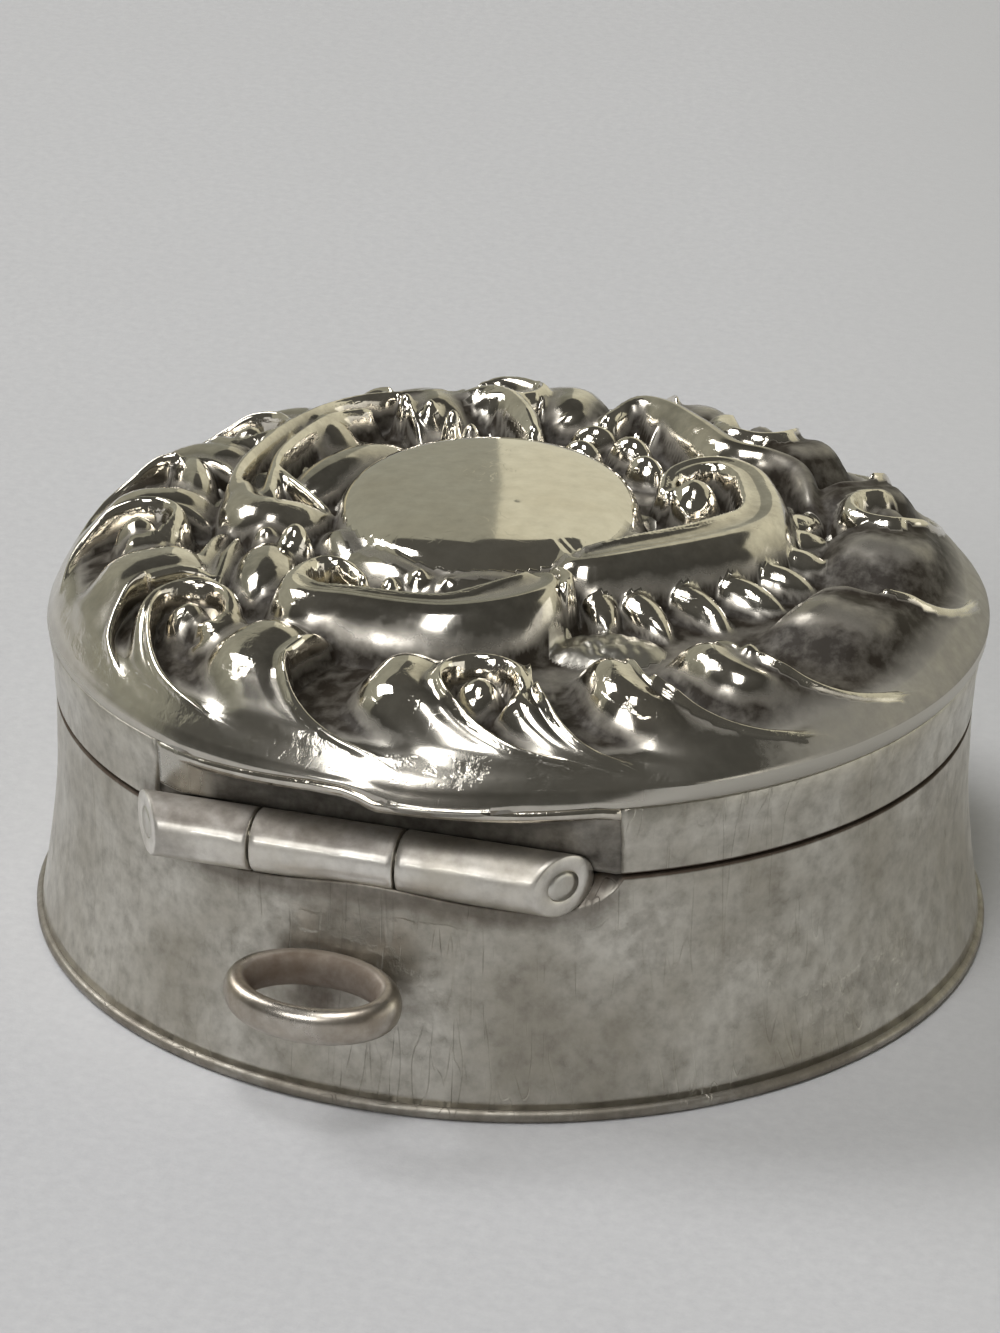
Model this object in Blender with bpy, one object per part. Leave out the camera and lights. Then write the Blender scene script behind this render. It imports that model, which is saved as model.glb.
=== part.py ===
# Small round silver box with an embossed lid that swings on a three-knuckle hinge.
# Metres, +Z up. The origin is the middle of the flat underside, and the hinge is at +Y.

import bpy
import bmesh
import numpy as np
from math import cos, pi, radians, sin, sqrt, tan
from mathutils import Vector

# Base: floor disc, waisted wall and inner collar
WAIST_RADIUS = 0.01818
FOOT_FLARE = 0.00082
WAIST_HEIGHT = 0.0068
SEAM_HEIGHT = 0.0096
WALL_THICKNESS = 0.0006
FLARE_POWER = 1.5
FLOOR_THICKNESS = 0.0005
FLOOR_PROUD = 0.00015
FLOOR_EDGE_ROUND = 0.00015
BEZEL_THICKNESS = 0.0004
BEZEL_RISE = 0.0012
BEZEL_DEPTH = 0.0025
BEZEL_LEAD_SHARE = 0.5

# Lid: side band, shoulder and embossed top
SEAM_GAP = 0.00015
LID_CLEARANCE = 0.00012
BAND_HEIGHT = 0.00275
BAND_FLARE = 0.00027
BAND_MIDDLE_SHARE = 0.25
BAND_THICKNESS = 0.00056
TOP_OVERHANG = 0.00005
SHOULDER_PROUD = 0.00019
SHOULDER_RISE = 0.00076
RIM_WIDTH = 0.00136
RIM_RISE = 0.00092
RIM_POWER = 2
CROWN_RISE = 0.00082
RELIEF_RISE = 0.0019
SHEET_THICKNESS = 0.0005

# Hinge: three tubes on one pin, seated half in the base wall
TUBE_RADIUS = 0.0012
PIN_RADIUS = 0.0005
PIN_CLEARANCE = 0.00008
HINGE_INSET = 0.00108
HINGE_HALF_LENGTH = 0.00896
HINGE_OFFSET = 0.00094
END_SLANT = radians(34)
MIDDLE_LENGTH = 0.0058
MIDDLE_OFFSET = 0.00091
KNUCKLE_GAP = 0.00012
BEARER_THICKNESS = 0.0004
BEARER_SEAT_ANGLE = radians(125)
NOTCH_CLEARANCE = 0.00004

# Hanging loop below the hinge
LOOP_HEIGHT = 0.0054
LOOP_WIDTH = 0.0069
LOOP_REACH = 0.0043
LOOP_BAND = 0.0010
LOOP_BAND_HEIGHT = 0.0015
LOOP_SINK = 0.0002
LOOP_TURN = radians(4)
LOOP_DROOP = radians(9)

# Thumb lip on the front of the lid band
LIP_WIDTH = 0.0062
LIP_REACH = 0.0009
LIP_THICKNESS = 0.0008
LIP_LIFT = 0.0002
LIP_FULLNESS = 0.7

# Fits and mesh counts
SOLDER_GAP = 0.00006
OVERRUN = 0.002
MERGE = 0.000001
TURN_STEPS = 72
TUBE_STEPS = 24
WALL_STEPS = 5
LOOP_STEPS = 32
LOOP_SECTION_STEPS = 10
LIP_STEPS = 12
COVE_STEPS = 6
SHARP_ANGLE = radians(35)

# The ornament is turned by this angle about the lid's centre
ORNAMENT_TURN = radians(197)

# Sizes and heights that follow from the ones above
FOOT_RADIUS = WAIST_RADIUS + FOOT_FLARE
HINGE_REACH = WAIST_RADIUS - HINGE_INSET
BAND_FOOT = SEAM_HEIGHT + SEAM_GAP
BAND_TOP = BAND_FOOT + BAND_HEIGHT
TOP_FOOT = BAND_TOP + SOLDER_GAP
SHOULDER_HEIGHT = TOP_FOOT + SHOULDER_RISE
WALL_BORE = WAIST_RADIUS - WALL_THICKNESS
BEZEL_RADIUS = WALL_BORE - SOLDER_GAP
BEZEL_BORE = BEZEL_RADIUS - BEZEL_THICKNESS
BAND_BORE = BEZEL_RADIUS + LID_CLEARANCE
BAND_RADIUS = BAND_BORE + BAND_THICKNESS
BAND_MIDDLE_RADIUS = BAND_RADIUS + BAND_FLARE * BAND_MIDDLE_SHARE
BAND_TOP_RADIUS = BAND_RADIUS + BAND_FLARE
SHOULDER_RADIUS = BAND_TOP_RADIUS + SHOULDER_PROUD
SEAT_RADIUS = TUBE_RADIUS + SOLDER_GAP
BEARER_RADIUS = SEAT_RADIUS + BEARER_THICKNESS
NOTCH_HALF_WIDTH = HINGE_HALF_LENGTH + NOTCH_CLEARANCE
RIGHT_JOINT = HINGE_OFFSET + MIDDLE_OFFSET - MIDDLE_LENGTH / 2
LEFT_JOINT = HINGE_OFFSET + MIDDLE_OFFSET + MIDDLE_LENGTH / 2
HINGE_POINT = Vector((0, HINGE_REACH, SEAM_HEIGHT))


# Materials, mesh building and cutting

# Finishes: colour and roughness
SATIN = (0.62, 0.60, 0.56), 0.38
POLISHED = (0.78, 0.76, 0.71), 0.15
RUBBED = (0.74, 0.72, 0.68), 0.22
FILED = (0.60, 0.58, 0.55), 0.30
INSIDE = (0.70, 0.68, 0.64), 0.26


def silver(name, finish):
    colour, roughness = finish
    material = bpy.data.materials.new(name)
    material.use_nodes = True
    shader = material.node_tree.nodes["Principled BSDF"]
    shader.inputs["Base Color"].default_value = (*colour, 1)
    shader.inputs["Metallic"].default_value = 1
    shader.inputs["Roughness"].default_value = roughness
    material.diffuse_color = (*colour, 1)
    return material


def finish_object(name, bm, finish):
    """Turn a bmesh into a named object with its own material and smooth round faces."""
    bmesh.ops.recalc_face_normals(bm, faces=bm.faces)
    mesh = bpy.data.meshes.new(name)
    bm.to_mesh(mesh)
    bm.free()
    mesh.shade_smooth()
    mesh.set_sharp_from_angle(angle=SHARP_ANGLE)
    mesh.materials.append(silver(name + "_silver", finish))
    part = bpy.data.objects.new(name, mesh)
    bpy.context.scene.collection.objects.link(part)
    return part


def spin_profile(profile, axis, centre, steps=TURN_STEPS):
    """Turn a closed profile of 3-D points once round an axis."""
    bm = bmesh.new()
    corners = [bm.verts.new(point) for point in profile]
    edges = [bm.edges.new((corners[i - 1], corners[i])) for i in range(len(corners))]
    bmesh.ops.spin(bm, geom=corners + edges, cent=centre, axis=axis, angle=2 * pi, steps=steps,
                   use_merge=True)
    bmesh.ops.remove_doubles(bm, verts=bm.verts, dist=MERGE)
    return bm


def revolve(profile):
    """Turn a closed (radius, height) profile round the box's own axis."""
    return spin_profile([(r, 0, z) for r, z in profile], (0, 0, 1), (0, 0, 0))


def extrude_section(section, half_length):
    """Carry a (y, z) section along X, from -half_length to +half_length."""
    bm = bmesh.new()
    face = bm.faces.new([bm.verts.new((-half_length, y, z)) for y, z in section])
    grown = bmesh.ops.extrude_face_region(bm, geom=[face])
    moved = [item for item in grown["geom"] if isinstance(item, bmesh.types.BMVert)]
    bmesh.ops.translate(bm, verts=moved, vec=(2 * half_length, 0, 0))
    return bm


def make_cutter(name, bm):
    """A hidden solid that other pieces are cut with."""
    bmesh.ops.recalc_face_normals(bm, faces=bm.faces)
    mesh = bpy.data.meshes.new(name)
    bm.to_mesh(mesh)
    bm.free()
    cutter = bpy.data.objects.new(name, mesh)
    bpy.context.scene.collection.objects.link(cutter)
    cutter.hide_render = True
    cutter.display_type = "WIRE"
    return cutter


def cut(part, cutter, operation="DIFFERENCE"):
    modifier = part.modifiers.new(cutter.name, "BOOLEAN")
    modifier.operation = operation
    modifier.solver = "EXACT"
    modifier.object = cutter


def hinge_arc(radius, start, end, steps):
    """Points (y, z) on an arc round the hinge line; angle 0 looks outward, along +Y."""
    angles = np.linspace(start, end, steps + 1)
    return [(HINGE_REACH + radius * cos(a), SEAM_HEIGHT + radius * sin(a)) for a in angles]


# Base

def wall_radius(height):
    """Outer radius of the base wall: straight above the waist, flaring to the foot below it."""
    fall = max(0, 1 - height / WAIST_HEIGHT)
    return WAIST_RADIUS + FOOT_FLARE * fall ** FLARE_POWER


def make_floor():
    radius = FOOT_RADIUS + FLOOR_PROUD
    profile = [(0, 0), (radius - FLOOR_EDGE_ROUND, 0), (radius, FLOOR_EDGE_ROUND),
               (radius, FLOOR_THICKNESS - FLOOR_EDGE_ROUND),
               (radius - FLOOR_EDGE_ROUND, FLOOR_THICKNESS), (0, FLOOR_THICKNESS)]
    return finish_object("base_floor", revolve(profile), SATIN)


def make_wall():
    foot = FLOOR_THICKNESS + SOLDER_GAP
    heights = list(np.linspace(foot, WAIST_HEIGHT, WALL_STEPS)) + [SEAM_HEIGHT]
    outside = [(wall_radius(z), z) for z in heights]
    inside = [(r - WALL_THICKNESS, z) for r, z in reversed(outside)]
    return finish_object("base_wall", revolve(outside + inside), SATIN)


def make_bezel():
    low = SEAM_HEIGHT - BEZEL_DEPTH
    high = SEAM_HEIGHT + BEZEL_RISE
    lead = BEZEL_THICKNESS * BEZEL_LEAD_SHARE
    profile = [(BEZEL_RADIUS, low), (BEZEL_RADIUS, high - lead), (BEZEL_RADIUS - lead, high),
               (BEZEL_BORE, high), (BEZEL_BORE, low)]
    return finish_object("inner_bezel", revolve(profile), INSIDE)


def make_base_bearer():
    """Half-round trough that carries the hinge tubes across the notch in the wall."""
    lip = np.arcsin(SOLDER_GAP / SEAT_RADIUS)
    outer = hinge_arc(BEARER_RADIUS, pi + lip, 2 * pi - lip, TUBE_STEPS // 2)
    inner = hinge_arc(SEAT_RADIUS, 2 * pi - lip, pi + lip, TUBE_STEPS // 2)
    bm = extrude_section(outer + inner, NOTCH_HALF_WIDTH)
    return finish_object("base_hinge_bearer", bm, SATIN)


# Hinge tubes and pin

def tube_bmesh(start, end, radius, bore):
    """A tube, or a rod when the bore is zero, along the hinge line from x=start to x=end."""
    if bore:
        profile = [(start, radius), (end, radius), (end, bore), (start, bore)]
    else:
        profile = [(start, 0), (start, radius), (end, radius), (end, 0)]
    points = [(x, HINGE_REACH + r, SEAM_HEIGHT) for x, r in profile]
    return spin_profile(points, (1, 0, 0), HINGE_POINT, TUBE_STEPS)


def make_slant_cutter(name, side):
    """A wedge that files one end of the hinge obliquely, shorter on its outer face."""
    reach = TUBE_RADIUS + OVERRUN
    lean = reach * tan(END_SLANT)
    middle = HINGE_HALF_LENGTH - TUBE_RADIUS * tan(END_SLANT)
    far = HINGE_HALF_LENGTH + reach + OVERRUN
    corners = [(middle + lean, HINGE_REACH - reach), (far, HINGE_REACH - reach),
               (far, HINGE_REACH + reach), (middle - lean, HINGE_REACH + reach)]
    bm = bmesh.new()
    low = SEAM_HEIGHT - reach
    face = bm.faces.new([bm.verts.new((HINGE_OFFSET + side * x, y, low)) for x, y in corners])
    grown = bmesh.ops.extrude_face_region(bm, geom=[face])
    moved = [item for item in grown["geom"] if isinstance(item, bmesh.types.BMVert)]
    bmesh.ops.translate(bm, verts=moved, vec=(0, 0, 2 * reach))
    return make_cutter(name, bm)


def make_hinge():
    bore = PIN_RADIUS + PIN_CLEARANCE
    left_end = HINGE_OFFSET + HINGE_HALF_LENGTH + OVERRUN
    right_end = HINGE_OFFSET - HINGE_HALF_LENGTH - OVERRUN
    spans = {"base_knuckle_left": (LEFT_JOINT, left_end),
             "lid_knuckle": (RIGHT_JOINT + KNUCKLE_GAP, LEFT_JOINT - KNUCKLE_GAP),
             "base_knuckle_right": (right_end, RIGHT_JOINT)}
    tubes = {}
    for name, (start, end) in spans.items():
        tubes[name] = finish_object(name, tube_bmesh(start, end, TUBE_RADIUS, bore), RUBBED)
    pin = finish_object("hinge_pin", tube_bmesh(right_end, left_end, PIN_RADIUS, 0), FILED)
    left_cutter = make_slant_cutter("slant_left", 1)
    right_cutter = make_slant_cutter("slant_right", -1)
    cut(tubes["base_knuckle_left"], left_cutter)
    cut(tubes["base_knuckle_right"], right_cutter)
    cut(pin, left_cutter)
    cut(pin, right_cutter)
    return tubes["lid_knuckle"]


# Hanging loop

def make_loop():
    """Oval ring of rounded band, drooping a little, its back seated on the wall."""
    half_wide = (LOOP_WIDTH - LOOP_BAND) / 2
    half_deep = (LOOP_REACH + LOOP_SINK - LOOP_BAND) / 2
    middle = wall_radius(LOOP_HEIGHT) - LOOP_SINK + LOOP_BAND / 2 + half_deep
    round_angles = np.linspace(0, 2 * pi, LOOP_STEPS, endpoint=False)
    section_angles = np.linspace(0, 2 * pi, LOOP_SECTION_STEPS, endpoint=False)
    bm = bmesh.new()
    rings = []
    for a in round_angles:
        centre = np.array((half_wide * cos(a), half_deep * sin(a)))
        outward = np.array((cos(a) / half_wide, sin(a) / half_deep))
        outward = outward / sqrt(outward @ outward)
        ring = []
        for b in section_angles:
            x, y = centre + outward * cos(b) * LOOP_BAND / 2
            rise = sin(b) * LOOP_BAND_HEIGHT / 2
            reach = y + half_deep
            out = middle - half_deep + reach * cos(LOOP_DROOP) + rise * sin(LOOP_DROOP)
            z = LOOP_HEIGHT - reach * sin(LOOP_DROOP) + rise * cos(LOOP_DROOP)
            ring.append(bm.verts.new((x, out, z)))
        rings.append(ring)
    for i in range(LOOP_STEPS):
        for j in range(LOOP_SECTION_STEPS):
            bm.faces.new((rings[i - 1][j - 1], rings[i][j - 1], rings[i][j], rings[i - 1][j]))
    loop = finish_object("hanging_loop", bm, RUBBED)
    loop.rotation_euler.z = -LOOP_TURN
    return loop


# Lid band, bearer and thumb lip

def band_outline():
    """Outer face of the lid band as (radius, height), from the seam up."""
    middle = (BAND_FOOT + BAND_TOP) / 2
    return [(BAND_RADIUS, BAND_FOOT), (BAND_MIDDLE_RADIUS, middle), (BAND_TOP_RADIUS, BAND_TOP)]


def make_band():
    outside = band_outline()
    inside = [(r - BAND_THICKNESS, z) for r, z in reversed(outside)]
    inside[1] = (BAND_BORE, inside[1][1])
    return finish_object("lid_band", revolve(outside + inside), SATIN)


def make_lid_bearer():
    """Plate behind the tubes whose foot hugs the middle tube and whose top hollows out to the rim."""
    back = HINGE_REACH - BEARER_RADIUS
    lip = pi - np.arcsin(SEAM_GAP / SEAT_RADIUS)
    seat = hinge_arc(SEAT_RADIUS, lip, BEARER_SEAT_ANGLE, TUBE_STEPS // 4)
    ledge = BAND_TOP - BEARER_THICKNESS
    foot_y, foot_z = seat[-1]
    cove = [(BAND_TOP_RADIUS - (BAND_TOP_RADIUS - foot_y) * cos(a), foot_z + (ledge - foot_z) * sin(a))
            for a in np.linspace(0, pi / 2, COVE_STEPS + 1)[1:]]
    outer = BAND_TOP_RADIUS + OVERRUN
    section = [(back, BAND_FOOT)] + seat + cove + [(outer, ledge), (outer, BAND_TOP), (back, BAND_TOP)]
    bm = extrude_section(section, NOTCH_HALF_WIDTH - SOLDER_GAP)
    return finish_object("lid_hinge_bearer", bm, SATIN)


def make_lip():
    """Crescent ledge soldered to the front of the lid band."""
    inner_radius = BAND_MIDDLE_RADIUS + SOLDER_GAP
    half_angle = LIP_WIDTH / 2 / inner_radius
    bm = bmesh.new()
    outline = []
    for a in np.linspace(-half_angle, half_angle, LIP_STEPS + 1):
        outline.append((inner_radius * sin(a), -inner_radius * cos(a)))
    for a in np.linspace(half_angle, -half_angle, LIP_STEPS + 1)[1:-1]:
        reach = inner_radius + LIP_REACH * cos(a / half_angle * pi / 2) ** LIP_FULLNESS
        outline.append((reach * sin(a), -reach * cos(a)))
    low = BAND_FOOT + LIP_LIFT
    face = bm.faces.new([bm.verts.new((x, y, low)) for x, y in outline])
    grown = bmesh.ops.extrude_face_region(bm, geom=[face])
    moved = [item for item in grown["geom"] if isinstance(item, bmesh.types.BMVert)]
    bmesh.ops.translate(bm, verts=moved, vec=(0, 0, LIP_THICKNESS))
    return finish_object("thumb_lip", bm, RUBBED)


# Embossed lid. Places are shares of the lid's shoulder radius, x to the ornament's right and
# y to its far side; rises are shares of RELIEF_RISE above the ground of the lid.

# Running waves of the border: the angle in degrees of each one's tip, and how far its edge sweeps
WAVE_ANGLES = (174, 201.5, 208, 235.7, 259, 272.5, 288.8, 305.8, 336, 363, 381, 402, 424, 446, 470, 492, 514)
WAVE_SWEEP_SHARES = (0.6, 0.6, 1.25, 1, 1.1, 0.6, 1, 1, 1, 1, 1, 1, 1, 1, 0.9, 0.9, 0.8)
LAG_RADII_SHARES = (0, 0.78, 0.82, 0.85, 0.89, 0.925, 0.95, 0.965, 0.98)
LAG_ANGLES = (0, 0, 0.5, 1.5, 4.2, 8.3, 13, 17, 21)
BORDER_RADII_SHARES = (0, 0.58, 0.63, 0.67, 0.71, 0.75, 0.81, 0.865, 0.915, 0.95, 0.975, 1.2)
BORDER_RISE_SHARES = (0, 0, 0.12, 0.6, 0.9, 1.0, 0.98, 0.8, 0.48, 0.2, 0.03, 0)
WAVE_PHASE_SHARES = (0, 0.022, 0.05, 0.33, 0.45, 0.58, 0.70, 0.82, 0.92, 0.955, 0.99, 1)
WAVE_RISE_SHARES = (0.80, 0.4, 0, 0.03, 0.2, 0.55, 0.82, 0.95, 1, 0.99, 0.89, 0.80)

# Plain oval boss in the middle
BOSS_PLACE_SHARES = (-0.06, 0.095)
BOSS_RADII_SHARES = (0.33, 0.40)
BOSS_WALL_SHARE = 0.85
BOSS_DOME_SHARE = 0.55
BOSS_WALL_POWER = 12
BOSS_DOME_POWER = 2.4

# Scrolls: x, y, width to the right and to the left of the path, and rise, at points along each one
FRONT_SCROLL_SHARES = (
    (-0.31, -0.335, 0.02, 0.02, 0.95), (-0.345, -0.285, 0.022, 0.022, 1.05),
    (-0.395, -0.268, 0.026, 0.022, 1.1), (-0.44, -0.31, 0.035, 0.028, 1.12),
    (-0.462, -0.38, 0.05, 0.05, 1.15), (-0.43, -0.44, 0.07, 0.06, 1.15),
    (-0.35, -0.465, 0.08, 0.06, 1.15), (-0.235, -0.505, 0.088, 0.065, 1.15),
    (-0.134, -0.52, 0.088, 0.075, 1.15), (-0.034, -0.495, 0.08, 0.10, 1.15),
    (0.045, -0.45, 0.05, 0.11, 1.15), (0.075, -0.40, 0.03, 0.09, 1.12),
    (0.065, -0.345, 0.025, 0.05, 1.05), (0.02, -0.315, 0.02, 0.03, 0.9))
RIGHT_SCROLL_SHARES = (
    (0.10, -0.225, 0.05, 0.03, 0.95), (0.13, -0.285, 0.075, 0.07, 1.1),
    (0.253, -0.24, 0.09, 0.095, 1.15), (0.378, -0.178, 0.085, 0.10, 1.18),
    (0.463, -0.12, 0.08, 0.105, 1.2), (0.52, -0.05, 0.07, 0.095, 1.2),
    (0.54, 0.03, 0.06, 0.085, 1.2), (0.535, 0.13, 0.055, 0.08, 1.2),
    (0.51, 0.24, 0.05, 0.07, 1.18), (0.45, 0.305, 0.045, 0.055, 1.15),
    (0.38, 0.30, 0.04, 0.045, 1.1), (0.325, 0.25, 0.03, 0.035, 1.0),
    (0.31, 0.18, 0.025, 0.03, 0.85))

# Rolled strokes of the same width to both sides: x, y, half width and rise
STROKE_SHARES = (
    # knob and the two ridges of the left arm
    ((-0.40, 0.06, 0.02, 0.6), (-0.46, 0.035, 0.06, 0.95), (-0.53, 0.03, 0.085, 1.08),
     (-0.575, 0.08, 0.07, 1.05), (-0.59, 0.18, 0.05, 0.95)),
    ((-0.60, 0.12, 0.03, 0.95), (-0.605, 0.20, 0.035, 1.05), (-0.585, 0.31, 0.035, 1.08),
     (-0.52, 0.49, 0.035, 1.08), (-0.44, 0.63, 0.035, 1.08), (-0.355, 0.715, 0.035, 1.05),
     (-0.267, 0.754, 0.03, 1.0), (-0.155, 0.79, 0.03, 0.95)),
    ((-0.53, 0.13, 0.04, 0.9), (-0.525, 0.23, 0.04, 1.0), (-0.515, 0.36, 0.035, 1.0),
     (-0.475, 0.48, 0.035, 1.0), (-0.415, 0.60, 0.03, 0.98), (-0.33, 0.67, 0.03, 0.9)),
    # scroll behind the boss, on the right, with its hook
    ((0.20, 0.66, 0.035, 0.85), (0.265, 0.73, 0.045, 1.05), (0.335, 0.665, 0.055, 1.15),
     (0.40, 0.54, 0.06, 1.18), (0.465, 0.42, 0.06, 1.15), (0.545, 0.39, 0.05, 1.1),
     (0.605, 0.335, 0.045, 1.05), (0.625, 0.24, 0.035, 0.95), (0.63, 0.18, 0.025, 0.75),
     (0.66, 0.145, 0.02, 0.5)),
    # curl and crest at the far side
    ((-0.12, 0.76, 0.03, 1.0), (-0.045, 0.755, 0.045, 1.15), (0.01, 0.64, 0.045, 1.1),
     (0.035, 0.54, 0.03, 0.9)),
    ((-0.09, 0.88, 0.03, 0.85), (-0.04, 0.905, 0.035, 0.9), (0.03, 0.86, 0.04, 0.95),
     (0.09, 0.76, 0.035, 0.8)))

# Fluted shell round the right scroll: inner and outer end of each lobe
SHELL_LOBE_SHARES = (
    (0.165, -0.33, 0.185, -0.42), (0.25, -0.34, 0.305, -0.43), (0.35, -0.29, 0.43, -0.375),
    (0.45, -0.235, 0.55, -0.29), (0.53, -0.16, 0.625, -0.19), (0.58, -0.07, 0.665, -0.075),
    (0.59, 0.03, 0.675, 0.045), (0.585, 0.12, 0.665, 0.165))
LOBE_HALF_WIDTH_SHARES = (0.045, 0.044, 0.034)
LOBE_RISE_SHARES = (0.62, 0.58, 0.45)

# Round knobs, leaves and beads: x, y, half length, half width, turn in degrees, rise
KNOB_SHARES = (
    # balls in the heads of three waves, and the pale knob of a fourth
    (-0.66, -0.44, 0.075, 0.075, 0, 0.95), (-0.08, -0.795, 0.075, 0.075, 0, 0.95),
    (-0.79, 0.01, 0.075, 0.075, 0, 0.95), (0.465, -0.645, 0.045, 0.05, 0, 1.08),
    # ball of the right scroll, bud, side lobe and leaf
    (0.378, 0.165, 0.062, 0.066, 0, 1.08), (-0.52, -0.21, 0.075, 0.15, 0, 0.92),
    (-0.465, -0.10, 0.045, 0.05, 0, 1.05), (-0.70, 0.30, 0.055, 0.17, 8, 0.95),
    (-0.365, 0.385, 0.20, 0.085, 52, 0.8),
    # leaves behind the boss
    (0.13, 0.68, 0.07, 0.035, 20, 0.8), (0.17, 0.59, 0.065, 0.035, -10, 0.75),
    (0.14, 0.50, 0.055, 0.035, -20, 0.7), (0.25, 0.52, 0.06, 0.04, -30, 0.75),
    (0.28, 0.41, 0.055, 0.035, -35, 0.7),
    # beads
    (-0.25, 0.70, 0.04, 0.04, 0, 1.1), (-0.195, 0.665, 0.04, 0.04, 0, 1.1),
    (-0.145, 0.59, 0.035, 0.035, 0, 1.1), (-0.26, -0.31, 0.035, 0.04, 0, 0.75),
    (-0.20, -0.29, 0.035, 0.03, 0, 0.85),
    # pebbled mound between the two scrolls
    (0.185, -0.50, 0.12, 0.075, 5, 0.28))

# Cross-sections, from the left of the path to its right
ROLL_SECTION_SHARES = ((-1, -0.92, -0.8, -0.6, -0.35, 0, 0.4, 0.68, 0.86, 0.93, 1),
                       (0, 0.4, 0.6, 0.8, 0.93, 1, 0.93, 0.97, 0.93, 0.5, 0))
ROUND_SECTION_SHARES = ((-1, -0.95, -0.8, -0.5, 0, 0.5, 0.8, 0.95, 1),
                        (0, 0.31, 0.6, 0.87, 1, 0.87, 0.6, 0.31, 0))
CURVE_STEPS = 6

# Mesh lines of the lid: radii and the places inside each wave where columns stand
RING_SHARES = (0.06, 0.13, 0.20, 0.26, 0.30, 0.335, 0.37, 0.405, 0.44, 0.475, 0.51, 0.545, 0.58,
               0.615, 0.65, 0.69, 0.73, 0.77, 0.81, 0.855, 0.90, 0.935, 0.963, 0.985)
COLUMN_PHASE_SHARES = (0.05, 0.33, 0.52, 0.72, 0.90, 0.99)
SOFTENING_SHARE = 0.021
SOFTENING_STEPS = 8


def smooth_path(rows):
    """Catmull-Rom curve through rows of numbers that start with x and y."""
    points = np.array(rows, float)
    points = np.vstack((2 * points[0] - points[1], points, 2 * points[-1] - points[-2]))
    t = np.linspace(0, 1, CURVE_STEPS, endpoint=False)[:, None]
    pieces = []
    for a, b, c, d in zip(points, points[1:], points[2:], points[3:]):
        pieces.append((2 * b + (c - a) * t + (2 * a - 5 * b + 4 * c - d) * t ** 2
                       + (3 * b - a - 3 * c + d) * t ** 3) / 2)
    pieces.append(points[-2:-1])
    return np.vstack(pieces)


def stroke_rise(x, y, rows, section=ROUND_SECTION_SHARES):
    """Rise of a rolled strip along a path; its section is read across the nearest stretch of it."""
    path = smooth_path(rows)
    nearest = np.full(x.shape, np.inf)
    across = np.zeros(x.shape)
    rise = np.zeros(x.shape)
    for start, end in zip(path, path[1:]):
        run = end[:2] - start[:2]
        dx, dy = x - start[0], y - start[1]
        t = np.clip((dx * run[0] + dy * run[1]) / (run @ run), 0, 1)
        dx, dy = dx - t * run[0], dy - t * run[1]
        side = np.sign(run[0] * dy - run[1] * dx)
        right, left, height = (start[i] + (end[i] - start[i]) * t for i in (2, 3, 4))
        distance = np.hypot(dx, dy) / np.where(side < 0, right, left)
        closer = distance < nearest
        nearest = np.where(closer, distance, nearest)
        across = np.where(closer, distance * side, across)
        rise = np.where(closer, height, rise)
    return np.where(nearest < 1, rise * np.interp(across, *section), 0)


def even(rows):
    """Rows of x, y, half width and rise with the same width to both sides."""
    return [(x, y, half, half, rise) for x, y, half, rise in rows]


def knob_rise(x, y, row):
    """Rise of a half-round knob or leaf."""
    px, py, length, width, turn, rise = row
    a = radians(turn)
    u = ((x - px) * cos(a) + (y - py) * sin(a)) / length
    v = ((y - py) * cos(a) - (x - px) * sin(a)) / width
    return rise * np.sqrt(np.clip(1 - u * u - v * v, 0, None))


def boss_rise(x, y):
    """Rise of the plain boss: a short steep wall and a shallow dome on it."""
    u = (x - BOSS_PLACE_SHARES[0]) / BOSS_RADII_SHARES[0]
    v = (y - BOSS_PLACE_SHARES[1]) / BOSS_RADII_SHARES[1]
    q = np.clip(np.hypot(u, v), 0, 1)
    return BOSS_WALL_SHARE * np.sqrt(1 - q ** BOSS_WALL_POWER) + BOSS_DOME_SHARE * (1 - q ** BOSS_DOME_POWER)


def wave_edges(radius):
    """Angles in degrees of all the waves' sharp edges at each radius, and the first one again."""
    lag = np.interp(radius, LAG_RADII_SHARES, LAG_ANGLES)
    tips = np.array(WAVE_ANGLES + (WAVE_ANGLES[0] + 360,), float)
    sweeps = np.array(WAVE_SWEEP_SHARES + WAVE_SWEEP_SHARES[:1])
    return tips + np.multiply.outer(lag, sweeps)


def border_rise(x, y):
    """Rise of the running waves: a saw-tooth round the rim whose edges sweep outward."""
    radius = np.hypot(x, y)
    edges = wave_edges(radius)
    angle = (np.degrees(np.arctan2(y, x)) - edges[..., 0]) % 360 + edges[..., 0]
    wave = (angle[..., None] >= edges[..., 1:-1]).sum(-1)[..., None]
    low = np.take_along_axis(edges, wave, -1)[..., 0]
    high = np.take_along_axis(edges, wave + 1, -1)[..., 0]
    phase = (angle - low) / (high - low)
    rise = np.interp(radius, BORDER_RADII_SHARES, BORDER_RISE_SHARES)
    return rise * np.interp(phase, WAVE_PHASE_SHARES, WAVE_RISE_SHARES)


def field_rise(x, y):
    """Rise of what stands beside the waves: boss, scrolls, shell, knobs and leaves."""
    rise = boss_rise(x, y)
    for rows in (FRONT_SCROLL_SHARES, RIGHT_SCROLL_SHARES):
        rise = np.maximum(rise, stroke_rise(x, y, rows, ROLL_SECTION_SHARES))
    for rows in STROKE_SHARES:
        rise = np.maximum(rise, stroke_rise(x, y, even(rows)))
    for ax, ay, bx, by in SHELL_LOBE_SHARES:
        places = ((ax, ay), ((ax + bx) / 2, (ay + by) / 2), (bx, by))
        rows = [(*place, half, height) for place, half, height in
                zip(places, LOBE_HALF_WIDTH_SHARES, LOBE_RISE_SHARES)]
        rise = np.maximum(rise, stroke_rise(x, y, even(rows)))
    for row in KNOB_SHARES:
        rise = np.maximum(rise, knob_rise(x, y, row))
    return rise


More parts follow.
